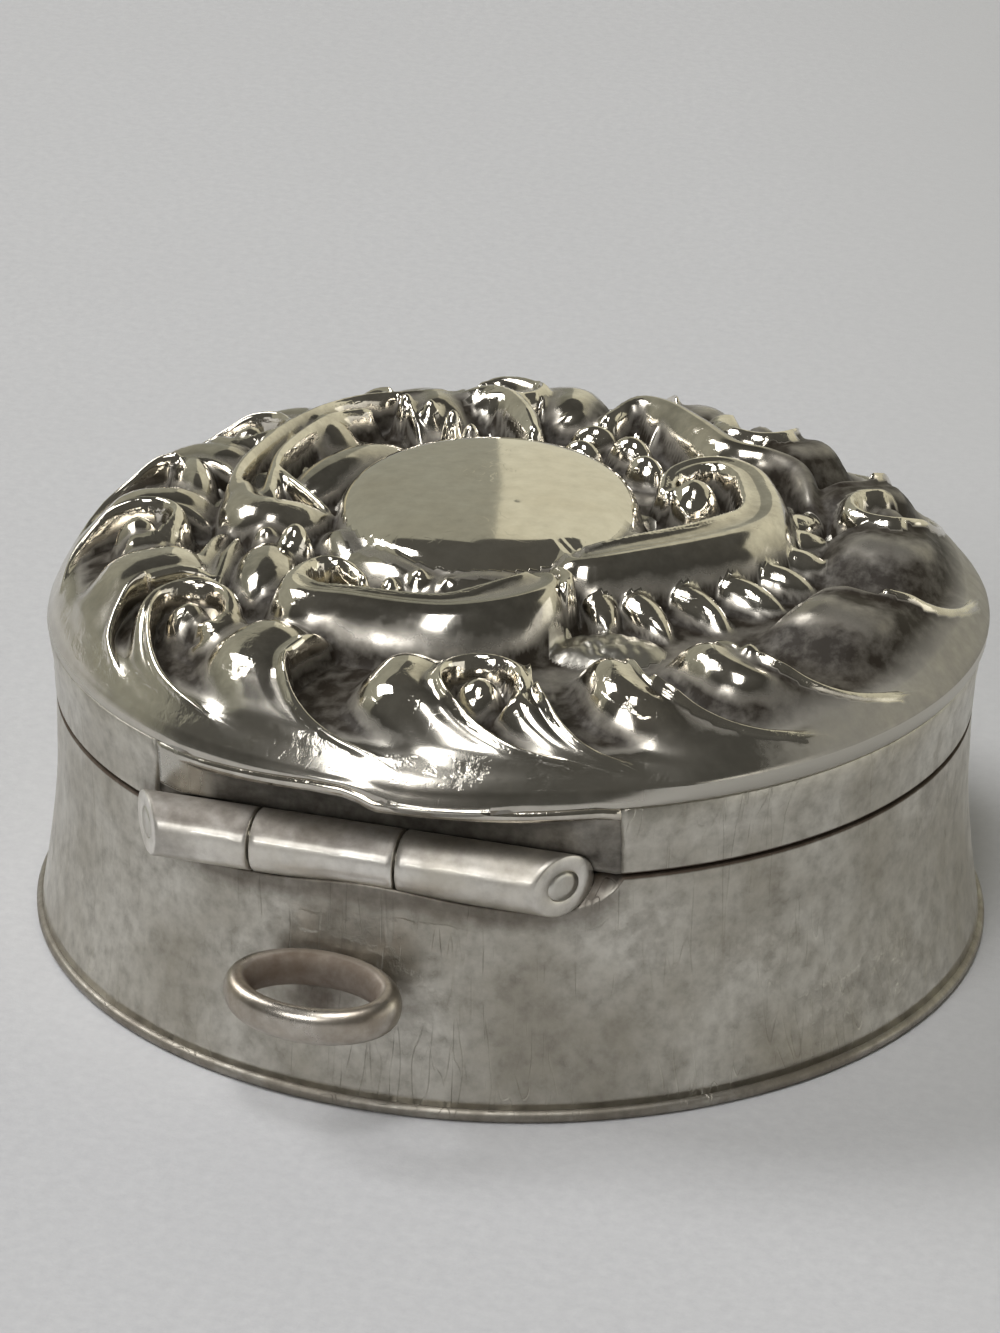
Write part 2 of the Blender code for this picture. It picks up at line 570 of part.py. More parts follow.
def relief(x, y):
    """Rise of the whole ornament, in shares of RELIEF_RISE, at places in shares.

    The inner field is the mean of a small ring of places, as a punch rounds the sheet.
    """
    field = field_rise(x, y)
    for a in np.linspace(0, 2 * pi, SOFTENING_STEPS, endpoint=False):
        field = field + field_rise(x + SOFTENING_SHARE * cos(a), y + SOFTENING_SHARE * sin(a))
    return np.maximum(border_rise(x, y), field / (SOFTENING_STEPS + 1))


def ground_height(radius):
    """Height of the plain lid: a low crown that runs out into the rolled rim."""
    inner = SHOULDER_RADIUS - RIM_WIDTH
    crown = CROWN_RISE * (1 - np.clip(radius / inner, 0, 1) ** 2)
    outward = np.clip((radius - inner) / RIM_WIDTH, 0, 1)
    lean = 2 * CROWN_RISE * RIM_WIDTH / inner
    fall = lean * outward + (RIM_RISE - lean) * outward ** RIM_POWER
    return SHOULDER_HEIGHT + RIM_RISE + crown - fall


def lid_height(x, y):
    """Height of the lid's outer face over a place, both in metres in the ornament's frame."""
    rise = relief(x / SHOULDER_RADIUS, y / SHOULDER_RADIUS)
    return ground_height(np.hypot(x, y)) + RELIEF_RISE * rise


def lid_columns(radius):
    """Angles of the mesh columns at one radius: they follow the sharp edges of the waves."""
    edges = wave_edges(radius / SHOULDER_RADIUS)
    phases = np.array(COLUMN_PHASE_SHARES)
    return np.radians((edges[:-1, None] + phases[None, :] * np.diff(edges)[:, None]).ravel())


def lid_ring(bm, radius, height=None, drop=0):
    """One ring of lid vertices; without a height, it lies on the embossed face."""
    angles = lid_columns(radius)
    x, y = radius * np.cos(angles), radius * np.sin(angles)
    z = np.full(x.shape, height) if height is not None else lid_height(x, y)
    turned_x = x * cos(ORNAMENT_TURN) - y * sin(ORNAMENT_TURN)
    turned_y = x * sin(ORNAMENT_TURN) + y * cos(ORNAMENT_TURN)
    return [bm.verts.new(point) for point in zip(turned_x, turned_y, z - drop)]


def bridge(bm, ring, following):
    for i in range(len(ring)):
        bm.faces.new((ring[i - 1], ring[i], following[i], following[i - 1]))


def cap(bm, ring, height):
    middle = bm.verts.new((0, 0, height))
    for i in range(len(ring)):
        bm.faces.new((middle, ring[i - 1], ring[i]))


def make_top():
    """The embossed sheet: outer face, rolled rim, flat foot and the hollow underside."""
    bm = bmesh.new()
    outer = [share * SHOULDER_RADIUS for share in RING_SHARES]
    foot_radius = BAND_TOP_RADIUS + TOP_OVERHANG
    inner_foot = BAND_TOP_RADIUS - BAND_THICKNESS
    inner = [radius for radius in outer[1::2] if radius < inner_foot - SHEET_THICKNESS]
    rings = [lid_ring(bm, radius) for radius in outer]
    centre = float(lid_height(np.zeros(1), np.zeros(1))[0])
    cap(bm, rings[0], centre)
    rings.append(lid_ring(bm, SHOULDER_RADIUS, SHOULDER_HEIGHT))
    rings.append(lid_ring(bm, foot_radius, TOP_FOOT))
    rings.append(lid_ring(bm, inner_foot, TOP_FOOT))
    rings.append(lid_ring(bm, inner_foot, SHOULDER_HEIGHT))
    for radius in reversed(inner):
        rings.append(lid_ring(bm, radius, drop=SHEET_THICKNESS))
    for ring, following in zip(rings, rings[1:]):
        bridge(bm, ring, following)
    cap(bm, rings[-1], centre - SHEET_THICKNESS)
    return finish_object("lid_top", bm, POLISHED)


# Assembly

def box_bmesh(low, high):
    bm = bmesh.new()
    bmesh.ops.create_cube(bm, size=1)
    low, high = Vector(low), Vector(high)
    bmesh.ops.scale(bm, verts=bm.verts, vec=high - low)
    bmesh.ops.translate(bm, verts=bm.verts, vec=(low + high) / 2)
    return bm


def build():
    for old in list(bpy.data.objects):
        bpy.data.objects.remove(old, do_unlink=True)

    make_floor()
    wall = make_wall()
    bezel = make_bezel()
    trough = make_base_bearer()
    lid_knuckle = make_hinge()
    loop = make_loop()
    band = make_band()
    plate = make_lid_bearer()
    lip = make_lip()
    top = make_top()

    # The tubes' seat in the wall
    seat = make_cutter("tube_seat", tube_bmesh(-WAIST_RADIUS, WAIST_RADIUS, SEAT_RADIUS, 0))
    cut(wall, seat)

    # The collar stops where the trough crosses it
    chord = HINGE_REACH - BEARER_RADIUS - SOLDER_GAP
    far = BEZEL_RADIUS + OVERRUN
    low = SEAM_HEIGHT - BEZEL_DEPTH - OVERRUN
    gate = make_cutter("collar_gate", box_bmesh((-far, chord, low), (far, far, BAND_TOP + OVERRUN)))
    cut(bezel, gate)

    # The trough ends on the wall's inner face
    bore = WALL_BORE - SOLDER_GAP
    room = make_cutter("wall_bore", revolve([(0, low), (bore, low), (bore, BAND_TOP), (0, BAND_TOP)]))
    cut(trough, room, "INTERSECT")

    # The notch in the lid band, and the plate that closes it
    high = BAND_TOP + OVERRUN
    far = BAND_TOP_RADIUS + OVERRUN
    notch = make_cutter("band_notch", box_bmesh((-NOTCH_HALF_WIDTH, 0, SEAM_HEIGHT - OVERRUN),
                                                (NOTCH_HALF_WIDTH, far, high)))
    cut(band, notch)
    outline = band_outline()
    outline = [(outline[0][0], SEAM_HEIGHT - OVERRUN)] + outline + [(outline[-1][0], high)]
    skin = make_cutter("band_skin", revolve([(0, outline[0][1])] + outline + [(0, high)]))
    cut(plate, skin, "INTERSECT")

    # The loop's back is filed to the wall
    low = FLOOR_THICKNESS
    heights = np.linspace(low, SEAM_HEIGHT, WALL_STEPS + 1)
    face = [(wall_radius(z) + SOLDER_GAP, z) for z in heights]
    body = make_cutter("wall_face", revolve([(0, low)] + face + [(0, SEAM_HEIGHT)]))
    cut(loop, body)

    # The lid's pieces hang on the hinge line
    lid_axis = bpy.data.objects.new("lid_axis", None)
    lid_axis.location = HINGE_POINT
    bpy.context.scene.collection.objects.link(lid_axis)
    for piece in (top, band, plate, lid_knuckle, lip):
        piece.parent = lid_axis
        piece.location = -HINGE_POINT


build()
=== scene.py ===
# %% [markdown]
# # A round silver trinket box with an embossed lid
# The imported model gives the box its sizes, its pieces and its hinge. This lesson dresses it: it keeps
# every size, and replaces each plain solid but the trough under the hinge by a finer surface worked out
# with numpy.

# %% Load the frame
import bpy
import numpy as np
from math import cos, pi, radians, sin, tan
from mathutils import Matrix, Vector


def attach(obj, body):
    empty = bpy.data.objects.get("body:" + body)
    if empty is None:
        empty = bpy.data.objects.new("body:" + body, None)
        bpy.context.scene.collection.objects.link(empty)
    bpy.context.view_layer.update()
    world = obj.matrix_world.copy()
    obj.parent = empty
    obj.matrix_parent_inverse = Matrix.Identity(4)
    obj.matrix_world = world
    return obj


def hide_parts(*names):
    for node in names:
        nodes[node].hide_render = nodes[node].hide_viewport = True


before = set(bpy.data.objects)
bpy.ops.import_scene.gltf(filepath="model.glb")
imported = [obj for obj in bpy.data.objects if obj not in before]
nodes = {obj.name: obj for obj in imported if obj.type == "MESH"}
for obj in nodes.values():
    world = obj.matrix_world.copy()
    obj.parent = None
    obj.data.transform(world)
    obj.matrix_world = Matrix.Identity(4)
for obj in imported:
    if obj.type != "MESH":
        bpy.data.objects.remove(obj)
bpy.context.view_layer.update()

# %% [markdown]
# ## The camera
# The photograph looks at the hinge side from a low height, with a long lens. The lens is 135 mm on a
# sensor whose long side, upright here, is 36 mm. The camera stands at an azimuth of 197 degrees.

# %% Camera
FOOT_RADIUS = 0.019
FLOOR_RADIUS = 0.01915
VIEW_AZIMUTH = radians(197)
VIEW_HEIGHT = radians(24.1)
VIEW_ROLL = radians(1.0)
VIEW_DISTANCE = 10.47 * FOOT_RADIUS
TARGET_SIDE = -0.031 * FOOT_RADIUS
TARGET_HEIGHT = 0.53 * FOOT_RADIUS
IMAGE_HEIGHT_PIXELS = 1333
FOCAL_PIXELS = 5000
SENSOR = 36

back = np.array((sin(VIEW_AZIMUTH) * cos(VIEW_HEIGHT), -cos(VIEW_AZIMUTH) * cos(VIEW_HEIGHT),
                 sin(VIEW_HEIGHT)))
right = np.array((cos(VIEW_AZIMUTH), sin(VIEW_AZIMUTH), 0))
up = np.cross(back, right)
target = right * TARGET_SIDE + np.array((0, 0, TARGET_HEIGHT))
camera_data = bpy.data.cameras.new("view_camera")
camera_data.lens = SENSOR * FOCAL_PIXELS / IMAGE_HEIGHT_PIXELS
camera_data.sensor_fit = "VERTICAL"
camera_data.sensor_height = SENSOR
camera_data.clip_start = 0.005
camera_data.clip_end = 20
camera = bpy.data.objects.new("view_camera", camera_data)
bpy.context.scene.collection.objects.link(camera)
rolled_right = right * cos(VIEW_ROLL) + up * sin(VIEW_ROLL)
rolled_up = up * cos(VIEW_ROLL) - right * sin(VIEW_ROLL)
camera_turn = Matrix(np.column_stack((rolled_right, rolled_up, back)).tolist())
camera.location = target + back * VIEW_DISTANCE
camera.rotation_euler = camera_turn.to_euler()
bpy.context.scene.camera = camera
print("lens", round(camera_data.lens, 1), "mm")

# %% [markdown]
# ## Sizes
# These are the box's own driving sizes, in metres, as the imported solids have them. Everything else is
# worked out from them, so a change of one size moves all that touches it.

# %% Driving sizes
WAIST_RADIUS = 0.01818
WAIST_HEIGHT = 0.0068
SEAM_HEIGHT = 0.0096
WALL_THICKNESS = 0.0006
FLARE_POWER = 1.5
FLOOR_THICKNESS = 0.0005
BEZEL_THICKNESS = 0.0004
BEZEL_RISE = 0.0012
BEZEL_DEPTH = 0.0025
SEAM_GAP = 0.00015
LID_CLEARANCE = 0.00012
BAND_HEIGHT = 0.00275
BAND_FLARE = 0.00027
BAND_THICKNESS = 0.00056
SHOULDER_PROUD = 0.00019
SOLDER_GAP = 0.00006
TUBE_RADIUS = 0.0012
PIN_RADIUS = 0.0005
PIN_CLEARANCE = 0.00008
HINGE_INSET = 0.00108
HINGE_HALF_LENGTH = 0.00896
HINGE_OFFSET = 0.00094
END_SLANT = radians(34)
MIDDLE_LENGTH = 0.0058
MIDDLE_OFFSET = 0.00091
KNUCKLE_GAP = 0.00012
BEARER_THICKNESS = 0.0004
NOTCH_CLEARANCE = 0.00004

HINGE_REACH = WAIST_RADIUS - HINGE_INSET
BAND_FOOT = SEAM_HEIGHT + SEAM_GAP
BAND_TOP = BAND_FOOT + BAND_HEIGHT
BEZEL_RADIUS = WAIST_RADIUS - WALL_THICKNESS - SOLDER_GAP
BAND_RADIUS = BEZEL_RADIUS + LID_CLEARANCE + BAND_THICKNESS
BAND_TOP_RADIUS = BAND_RADIUS + BAND_FLARE
LID_RADIUS = BAND_TOP_RADIUS + SHOULDER_PROUD
SEAT_RADIUS = TUBE_RADIUS + SOLDER_GAP
BEARER_RADIUS = SEAT_RADIUS + BEARER_THICKNESS
NOTCH_HALF_WIDTH = HINGE_HALF_LENGTH + NOTCH_CLEARANCE
EDGE_ROUND = 0.00005
print("lid radius", round(LID_RADIUS * 1000, 2), "mm, band top", round(BAND_TOP * 1000, 2), "mm")

# %% [markdown]
# ## Surfaces from numbers
# Every piece below is a grid of places: whole numpy arrays, one row per ring. Neighbouring rings are
# joined by quads. The ends either meet each other or close on a middle point with a fan of triangles.

# %% Meshes from arrays
def new_mesh(name, points, quads, triangles=()):
    """A smooth mesh object from places (n, 3), quads (m, 4) and triangles (k, 3)."""
    quads = np.asarray(quads, np.int32).reshape(-1, 4)
    triangles = np.asarray(triangles, np.int32).reshape(-1, 3)
    corners = np.concatenate((quads.ravel(), triangles.ravel()))
    starts = np.concatenate((np.arange(len(quads)) * 4, quads.size + np.arange(len(triangles)) * 3))
    mesh = bpy.data.meshes.new(name)
    mesh.vertices.add(len(points))
    mesh.vertices.foreach_set("co", np.asarray(points, np.float32).ravel())
    mesh.loops.add(len(corners))
    mesh.loops.foreach_set("vertex_index", corners.astype(np.int32))
    mesh.polygons.add(len(starts))
    mesh.polygons.foreach_set("loop_start", starts.astype(np.int32))
    mesh.update(calc_edges=True)
    mesh.validate()
    mesh.shade_smooth()
    piece = bpy.data.objects.new(name, mesh)
    bpy.context.scene.collection.objects.link(piece)
    print(name, len(quads) * 2 + len(triangles), "triangles")
    return piece


def ring_quads(rings, columns, joined=False):
    """Quads between neighbouring rings of a grid whose columns close round on themselves."""
    row = np.arange(rings if joined else rings - 1)[:, None]
    column = np.arange(columns)[None, :]
    following = (row + 1) % rings
    beside = (column + 1) % columns
    return np.stack(np.broadcast_arrays(row * columns + column, row * columns + beside,
                                        following * columns + beside,
                                        following * columns + column), -1).reshape(-1, 4)


def skin(name, grid, joined=False, flip=False, middles=None):
    """A closed piece from a grid (rings, columns, 3); its end rings are joined or closed by fans."""
    rings, columns = grid.shape[:2]
    points = grid.reshape(-1, 3)
    quads = ring_quads(rings, columns, joined)
    fans = np.zeros((0, 3), int)
    if not joined:
        if middles is None:
            middles = (grid[0].mean(0), grid[-1].mean(0))
        points = np.concatenate((points, middles))
        here = np.arange(columns)
        beside = (here + 1) % columns
        last = (rings - 1) * columns
        first_fan = np.stack((beside, here, np.full(columns, rings * columns)), -1)
        last_fan = np.stack((last + here, last + beside, np.full(columns, rings * columns + 1)), -1)
        fans = np.concatenate((first_fan, last_fan))
    if flip:
        quads, fans = quads[:, ::-1], fans[:, ::-1]
    return new_mesh(name, points, quads, fans)


def place(piece, body, slot, material, *nodes):
    """Let a finished piece ride its body, stand for its CAD nodes and take its finish."""
    piece.data.materials.append(material)
    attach(piece, body)
    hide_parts(*nodes)
    return piece


# %% [markdown]
# ## Old silver
# Handled silver is never one grey. Soft cloudy stains, a fine grain, crossing hairline scratches and a
# warm film in the low places make it. All of it is worked out by shader nodes from the piece's own
# coordinates, so it needs no picture and stays on the piece when the lid turns.

# %% Node helpers
def node(tree, kind, **settings):
    """A new shader node; names with spaces are written with underscores and set its sockets."""
    made = tree.nodes.new(kind)
    for key, value in settings.items():
        if hasattr(made, key):
            setattr(made, key, value)
        else:
            made.inputs[key.replace("_", " ")].default_value = value
    return made


def noise(tree, coordinates, scale, detail=4, roughness=0.55, stretch=(1, 1, 1), turn=(0, 0, 0)):
    """Noise read along stretched and turned coordinates."""
    mapping = node(tree, "ShaderNodeMapping", Scale=stretch, Rotation=turn)
    tree.links.new(coordinates, mapping.inputs["Vector"])
    made = node(tree, "ShaderNodeTexNoise", Scale=scale, Detail=detail, Roughness=roughness)
    tree.links.new(mapping.outputs["Vector"], made.inputs["Vector"])
    return made.outputs["Fac"]


def ramp(tree, value, low, high, start=0.0, end=1.0):
    """Straight ramp of a value from low..high to start..end, held at its ends."""
    made = node(tree, "ShaderNodeMapRange", From_Min=low, From_Max=high, To_Min=start, To_Max=end)
    tree.links.new(value, made.inputs["Value"])
    return made.outputs["Result"]


def math(tree, operation, first, second=None):
    """One sum of sockets or numbers."""
    made = tree.nodes.new("ShaderNodeMath")
    made.operation = operation
    for i, value in enumerate((first, second)):
        if value is None:
            continue
        if isinstance(value, (int, float)):
            made.inputs[i].default_value = value
        else:
            tree.links.new(value, made.inputs[i])
    return made.outputs["Value"]


def mix(tree, factor, first, second):
    """Colour between two colours or sockets."""
    made = tree.nodes.new("ShaderNodeMix")
    made.data_type = "RGBA"
    tree.links.new(factor, made.inputs[0])
    for i, value in ((6, first), (7, second)):
        if isinstance(value, tuple):
            made.inputs[i].default_value = (*value, 1)
        else:
            tree.links.new(value, made.inputs[i])
    return made.outputs[2]


def attribute(tree, name):
    """The value that a piece stores for each vertex under a name; 0 where it stores none."""
    return node(tree, "ShaderNodeAttribute", attribute_name=name).outputs["Fac"]


print("node helpers", [helper.__name__ for helper in (node, noise, ramp, math, mix, attribute)])

# %% [markdown]
# Hairlines come from cloths and from other things in a pocket. A line is drawn where a long, stretched
# noise crosses its middle value, and a broad second noise breaks it up, so that lines start and stop.

# %% Scratches
SCRATCH_TURNS = ((0.3, 0.2, 0.9), (1.2, -0.5, 2.1), (-0.8, 0.9, -0.6))
SCRATCH_STRETCH = (1, 1, 0.06)
SCRATCH_WIDTH = 0.012


def scratches(tree, coordinates):
    """Hairlines in three directions: 1 where |noise - 0.5| is near 0, faded out in broad patches."""
    total = None
    for i, turn in enumerate(SCRATCH_TURNS):
        lines = noise(tree, coordinates, 900 + 300 * i, 1, 0.4, SCRATCH_STRETCH, turn)
        off_line = math(tree, "ABSOLUTE", math(tree, "SUBTRACT", lines, 0.5))
        line = ramp(tree, off_line, 0, SCRATCH_WIDTH, 1, 0)
        where = ramp(tree, noise(tree, coordinates, 260 + 90 * i, 2), 0.50, 0.62)
        line = math(tree, "MULTIPLY", line, where)
        total = line if total is None else math(tree, "MAXIMUM", total, line)
    return total


print("scratches in", len(SCRATCH_TURNS), "directions")

# %% [markdown]
# One recipe makes every finish of the box. Metal takes its look from what it reflects, so the stains
# change the colour and the blur of the reflection. A thick film isn't metal any more, so the metallic
# share falls as it thickens. Where the film is thin the metal is rubbed smooth and loses its dents.
# The film is tarnish in most places, and painted shade in others.

# %% The silver recipe
SATIN_COLOUR = (0.56, 0.535, 0.475)
SATIN_ROUGHNESS = 0.22
FILM_ROUGHNESS = 0.45
FILM_SPECULAR = 0.3
MOTTLE_SCALE = 1400
MOTTLE_SHIFT = 0.12
GRAIN_SCALE = 9000
DENT_SCALE = 520
BUMP_DEPTH = 0.000012


def add_film(tree, shader, colour, rough, mottle, tarnish_and_shade):
    """Colour and roughness under a film and a satin share; gives how far dents show through, too."""
    film = math(tree, "ADD", attribute(tree, "tarnish_and_shade"),
                ramp(tree, mottle, 0.2, 0.8, -MOTTLE_SHIFT, MOTTLE_SHIFT))
    colour = mix(tree, film, colour, tarnish_and_shade)
    rough = math(tree, "ADD", rough, ramp(tree, film, 0.03, 0.14, 0, 0.06))
    rough = math(tree, "ADD", rough, ramp(tree, film, 0.4, 1, 0, FILM_ROUGHNESS))
    tree.links.new(ramp(tree, film, 0.45, 0.95, 1, 0.12), shader.inputs["Metallic"])
    shader.inputs["Specular IOR Level"].default_value = FILM_SPECULAR
    dull = attribute(tree, "satin")
    colour = mix(tree, dull, colour, SATIN_COLOUR)
    rough = math(tree, "ADD", rough, ramp(tree, dull, 0, 1, 0, SATIN_ROUGHNESS))
    return colour, rough, ramp(tree, film, 0.05, 0.12, 0.04, 1)


def silver(name, clean, stain, roughness, scratch=0.5, cloud_scale=150, tarnish_and_shade=None, grain=0.2, dents=0.3,
           spots=0.35):
    """Silver with clouds of stain between two colours and two roughnesses, then spots, grain,
    scratches and dents, and a dark film of tarnish and painted shade where the piece's own attributes
    put one."""
    material = bpy.data.materials.new(name)
    material.use_nodes = True
    tree = material.node_tree
    shader = tree.nodes["Principled BSDF"]
    shader.inputs["Metallic"].default_value = 1
    place_of = tree.nodes.new("ShaderNodeTexCoord").outputs["Object"]
    clouds = ramp(tree, noise(tree, place_of, cloud_scale, 6, 0.62), 0.40, 0.66)
    mottle = noise(tree, place_of, MOTTLE_SCALE, 5, 0.6)
    lines = scratches(tree, place_of)
    colour = mix(tree, clouds, clean, stain)
    colour = mix(tree, ramp(tree, mottle, 0.35, 0.75, 0, spots), colour, tuple(0.6 * c for c in stain))
    rough = ramp(tree, clouds, 0, 1, *roughness)
    hollows = math(tree, "MULTIPLY", noise(tree, place_of, DENT_SCALE, 2), dents * 6)
    if tarnish_and_shade:
        colour, rough, dented = add_film(tree, shader, colour, rough, mottle, tarnish_and_shade)
        hollows = math(tree, "MULTIPLY", hollows, dented)
    rough = math(tree, "ADD", rough, ramp(tree, lines, 0, 1, 0, 0.18 * scratch))
    tree.links.new(colour, shader.inputs["Base Color"])
    tree.links.new(rough, shader.inputs["Roughness"])
    height = math(tree, "MULTIPLY", noise(tree, place_of, GRAIN_SCALE, 3, 0.6), grain)
    height = math(tree, "SUBTRACT", height, math(tree, "MULTIPLY", lines, scratch))
    height = math(tree, "ADD", height, hollows)
    bump = node(tree, "ShaderNodeBump", Strength=1.0, Distance=BUMP_DEPTH)
    tree.links.new(height, bump.inputs["Height"])
    tree.links.new(bump.outputs["Normal"], shader.inputs["Normal"])
    return material


print("satin parts are", SATIN_ROUGHNESS, "rougher, thick film", FILM_ROUGHNESS)

# %% [markdown]
# The wall and the band are satin, the embossed top is polished, the tubes are rubbed by the thumb, and
# the loop is warm from the solder. Each finish is a clean colour, a stained colour, a span of
# roughness, the depth of scratches and the size of the clouds, then film, grain, dents and spots.

# %% Finishes of the box
BROWN = (0.075, 0.054, 0.038)
BLACK_BROWN = (0.022, 0.016, 0.010)
WARM_BROWN = (0.11, 0.075, 0.05)
SATIN = silver("satin_silver", (0.64, 0.615, 0.55), (0.44, 0.41, 0.345), (0.30, 0.42), 1.3, 150,
               BROWN, 0.35, 0.45, 0.6)
POLISHED = silver("polished_silver", (0.91, 0.865, 0.77), (0.82, 0.76, 0.65), (0.045, 0.075), 0.06, 220,
                  BLACK_BROWN, 0.015, 0.25)
TUBE = silver("hinge_silver", (0.86, 0.83, 0.77), (0.66, 0.62, 0.54), (0.33, 0.42), 0.03, 300,
              BROWN, 0.1, 0.1)
WIRE = silver("pin_silver", (0.70, 0.68, 0.62), (0.55, 0.51, 0.44), (0.30, 0.38), 0.4, 600)
LOOP = silver("loop_silver", (0.74, 0.70, 0.63), (0.50, 0.44, 0.36), (0.20, 0.32), 0.15, 320, WARM_BROWN)
# The shaded silver is near black: painted shade for the trough under the hinge.
PAINTED_SHADE_SILVER = silver("shaded_silver", (0.16, 0.135, 0.105), (0.09, 0.075, 0.055), (0.45, 0.55), 0.2, 300)
INNER = silver("inner_silver", (0.78, 0.76, 0.71), (0.66, 0.63, 0.56), (0.24, 0.34), 0.6, 200)
print("finishes", [m.name for m in (SATIN, POLISHED, TUBE, WIRE, LOOP, PAINTED_SHADE_SILVER, INNER)])

# %% [markdown]
# ## The base
# The wall and the floor are round work, as a lathe or a raising stake gives. So each is a profile
# turned round the box's axis: a grid of heights times directions. A modifier could turn it too, but a
# grid lets the wall's top edge dip where the hinge tubes lie.

# %% Profiles turned round the axis
TURN_COLUMNS = 288
TURN_ANGLES = np.linspace(0, 2 * pi, TURN_COLUMNS, endpoint=False)


def wall_radius(height):
    """Outer radius of the wall: waist + flare * (1 - height / waist height) ^ 1.5."""
    fall = np.clip(1 - height / WAIST_HEIGHT, 0, None)
    return WAIST_RADIUS + (FOOT_RADIUS - WAIST_RADIUS) * fall ** FLARE_POWER


def turned(radius, height):
    """Grid (r cos a, r sin a, z) of a profile; its radius and height may differ by column."""
    radius = np.broadcast_to(np.reshape(radius, (len(radius), -1)), (len(radius), TURN_COLUMNS))
    height = np.broadcast_to(np.reshape(height, (len(height), -1)), radius.shape)
    return np.stack((radius * np.cos(TURN_ANGLES), radius * np.sin(TURN_ANGLES), height), -1)


print("foot radius", round(float(wall_radius(np.array(0.0))) * 1000, 2), "mm")

# %% [markdown]
# The floor is a flat disc, soldered under the wall. Its edge stands a little proud, and wear has
# rounded it, so the profile steps in by small amounts at both corners.

# %% Floor disc
DISC_EDGE = ((0.00025, 0), (0.00008, 0.00005), (0, 0.00016), (0, 0.00034), (0.00008, 0.00045),
             (0.0002, FLOOR_THICKNESS), (0.0008, FLOOR_THICKNESS))
disc = [(FLOOR_RADIUS / 2, 0)] + [(FLOOR_RADIUS - inset, z) for inset, z in DISC_EDGE]
disc_r, disc_z = np.array(disc + [(FLOOR_RADIUS / 2, FLOOR_THICKNESS)]).T
floor_disc = skin("floor_disc", turned(disc_r, disc_z), middles=((0, 0, 0), (0, 0, FLOOR_THICKNESS)))
place(floor_disc, "base", "satin_silver", SATIN, "base_floor")

# %% [markdown]
# The wall is a strip of sheet bent round: straight above the waist, flaring to the foot. The hinge
# tubes lie in a half-round seat filed across its top edge. The imported trough behind them is painted
# near black, as painted shade, because hardly any light reaches it.

# %% Wall with the tubes' seat
nodes["base_hinge_bearer"].data.materials.clear()
nodes["base_hinge_bearer"].data.materials.append(PAINTED_SHADE_SILVER)


def seat_height(radius):
    """Height of the wall's top at each column: the seam, or the tubes' round seat below it."""
    beyond = radius * np.sin(TURN_ANGLES) - HINGE_REACH
    return SEAM_HEIGHT - np.sqrt(np.clip(SEAT_RADIUS ** 2 - beyond ** 2, 0, None))


climb = np.append(np.linspace(0, 0.985, 32) ** 0.9, (0.992, 1))[:, None]
outer_top, inner_top = seat_height(WAIST_RADIUS), seat_height(WAIST_RADIUS - WALL_THICKNESS)
outside = FLOOR_THICKNESS + (outer_top - EDGE_ROUND - FLOOR_THICKNESS) * climb
inside = FLOOR_THICKNESS + (inner_top - EDGE_ROUND - FLOOR_THICKNESS) * climb[::-4]
heights = np.concatenate((outside, outer_top[None], inner_top[None], inside))
radii = np.concatenate((wall_radius(outside), wall_radius(outer_top)[None] - EDGE_ROUND,
                        wall_radius(inner_top)[None] - WALL_THICKNESS + EDGE_ROUND,
                        wall_radius(inside) - WALL_THICKNESS))
wall = skin("waisted_wall", turned(radii, heights), joined=True)
place(wall, "base", "satin_silver", SATIN, "base_wall")

# %% [markdown]
# Heat and solder left brown stains round the loop. Painted shade darkens the wall right of the loop,
# in a band and a patch under the tubes and along the seam, and the foot's proud edge is darker too.
# Each vertex stores how thick this dark film is, and the finish reads it. A painted picture would do
# as well, but numbers stay sharp at any size.

# %% Stains and painted shade on the wall
# Each stain: angle as the camera sees it, height and half sizes in mm, strength. The second, right of
# the loop, is a painted shadow of the loop, and the seventh, a thin band just under the tubes, is
# painted shade.
STAINS = ((-22.5, 4.1, 1.6, 1.0, 0.85), (-13, 4.4, 1.0, 0.9, 0.5), (-30, 4.6, 1.0, 0.8, 0.45),
          (-23, 5.6, 2.0, 0.8, 0.7), (48, 2.8, 3.0, 1.2, 0.2), (30, 5.5, 1.2, 0.8, 0.12),
          (-24, 7.9, 3.2, 0.45, 0.25), (16, 7.4, 1.6, 0.8, 0.1), (62, 9.2, 1.2, 0.8, 0.3))
WALL_SIDE = VIEW_AZIMUTH - pi / 2
# Painted shade: a dark ring along the seam, and a dark patch on the wall under the tubes.
SEAM_SHADE_HEIGHTS = (SEAM_HEIGHT - 0.0001, SEAM_HEIGHT - 0.00006, BAND_FOOT + 0.00006, BAND_FOOT + 0.0001)
UNDER_TUBE_SHADE_REACH = (0.0016, 0.0022)
UNDER_TUBE_SHADE_SPREAD = (0.0092, 0.0102)
UNDER_TUBE_SHADE = 0.62
EDGE_FILM = 0.5


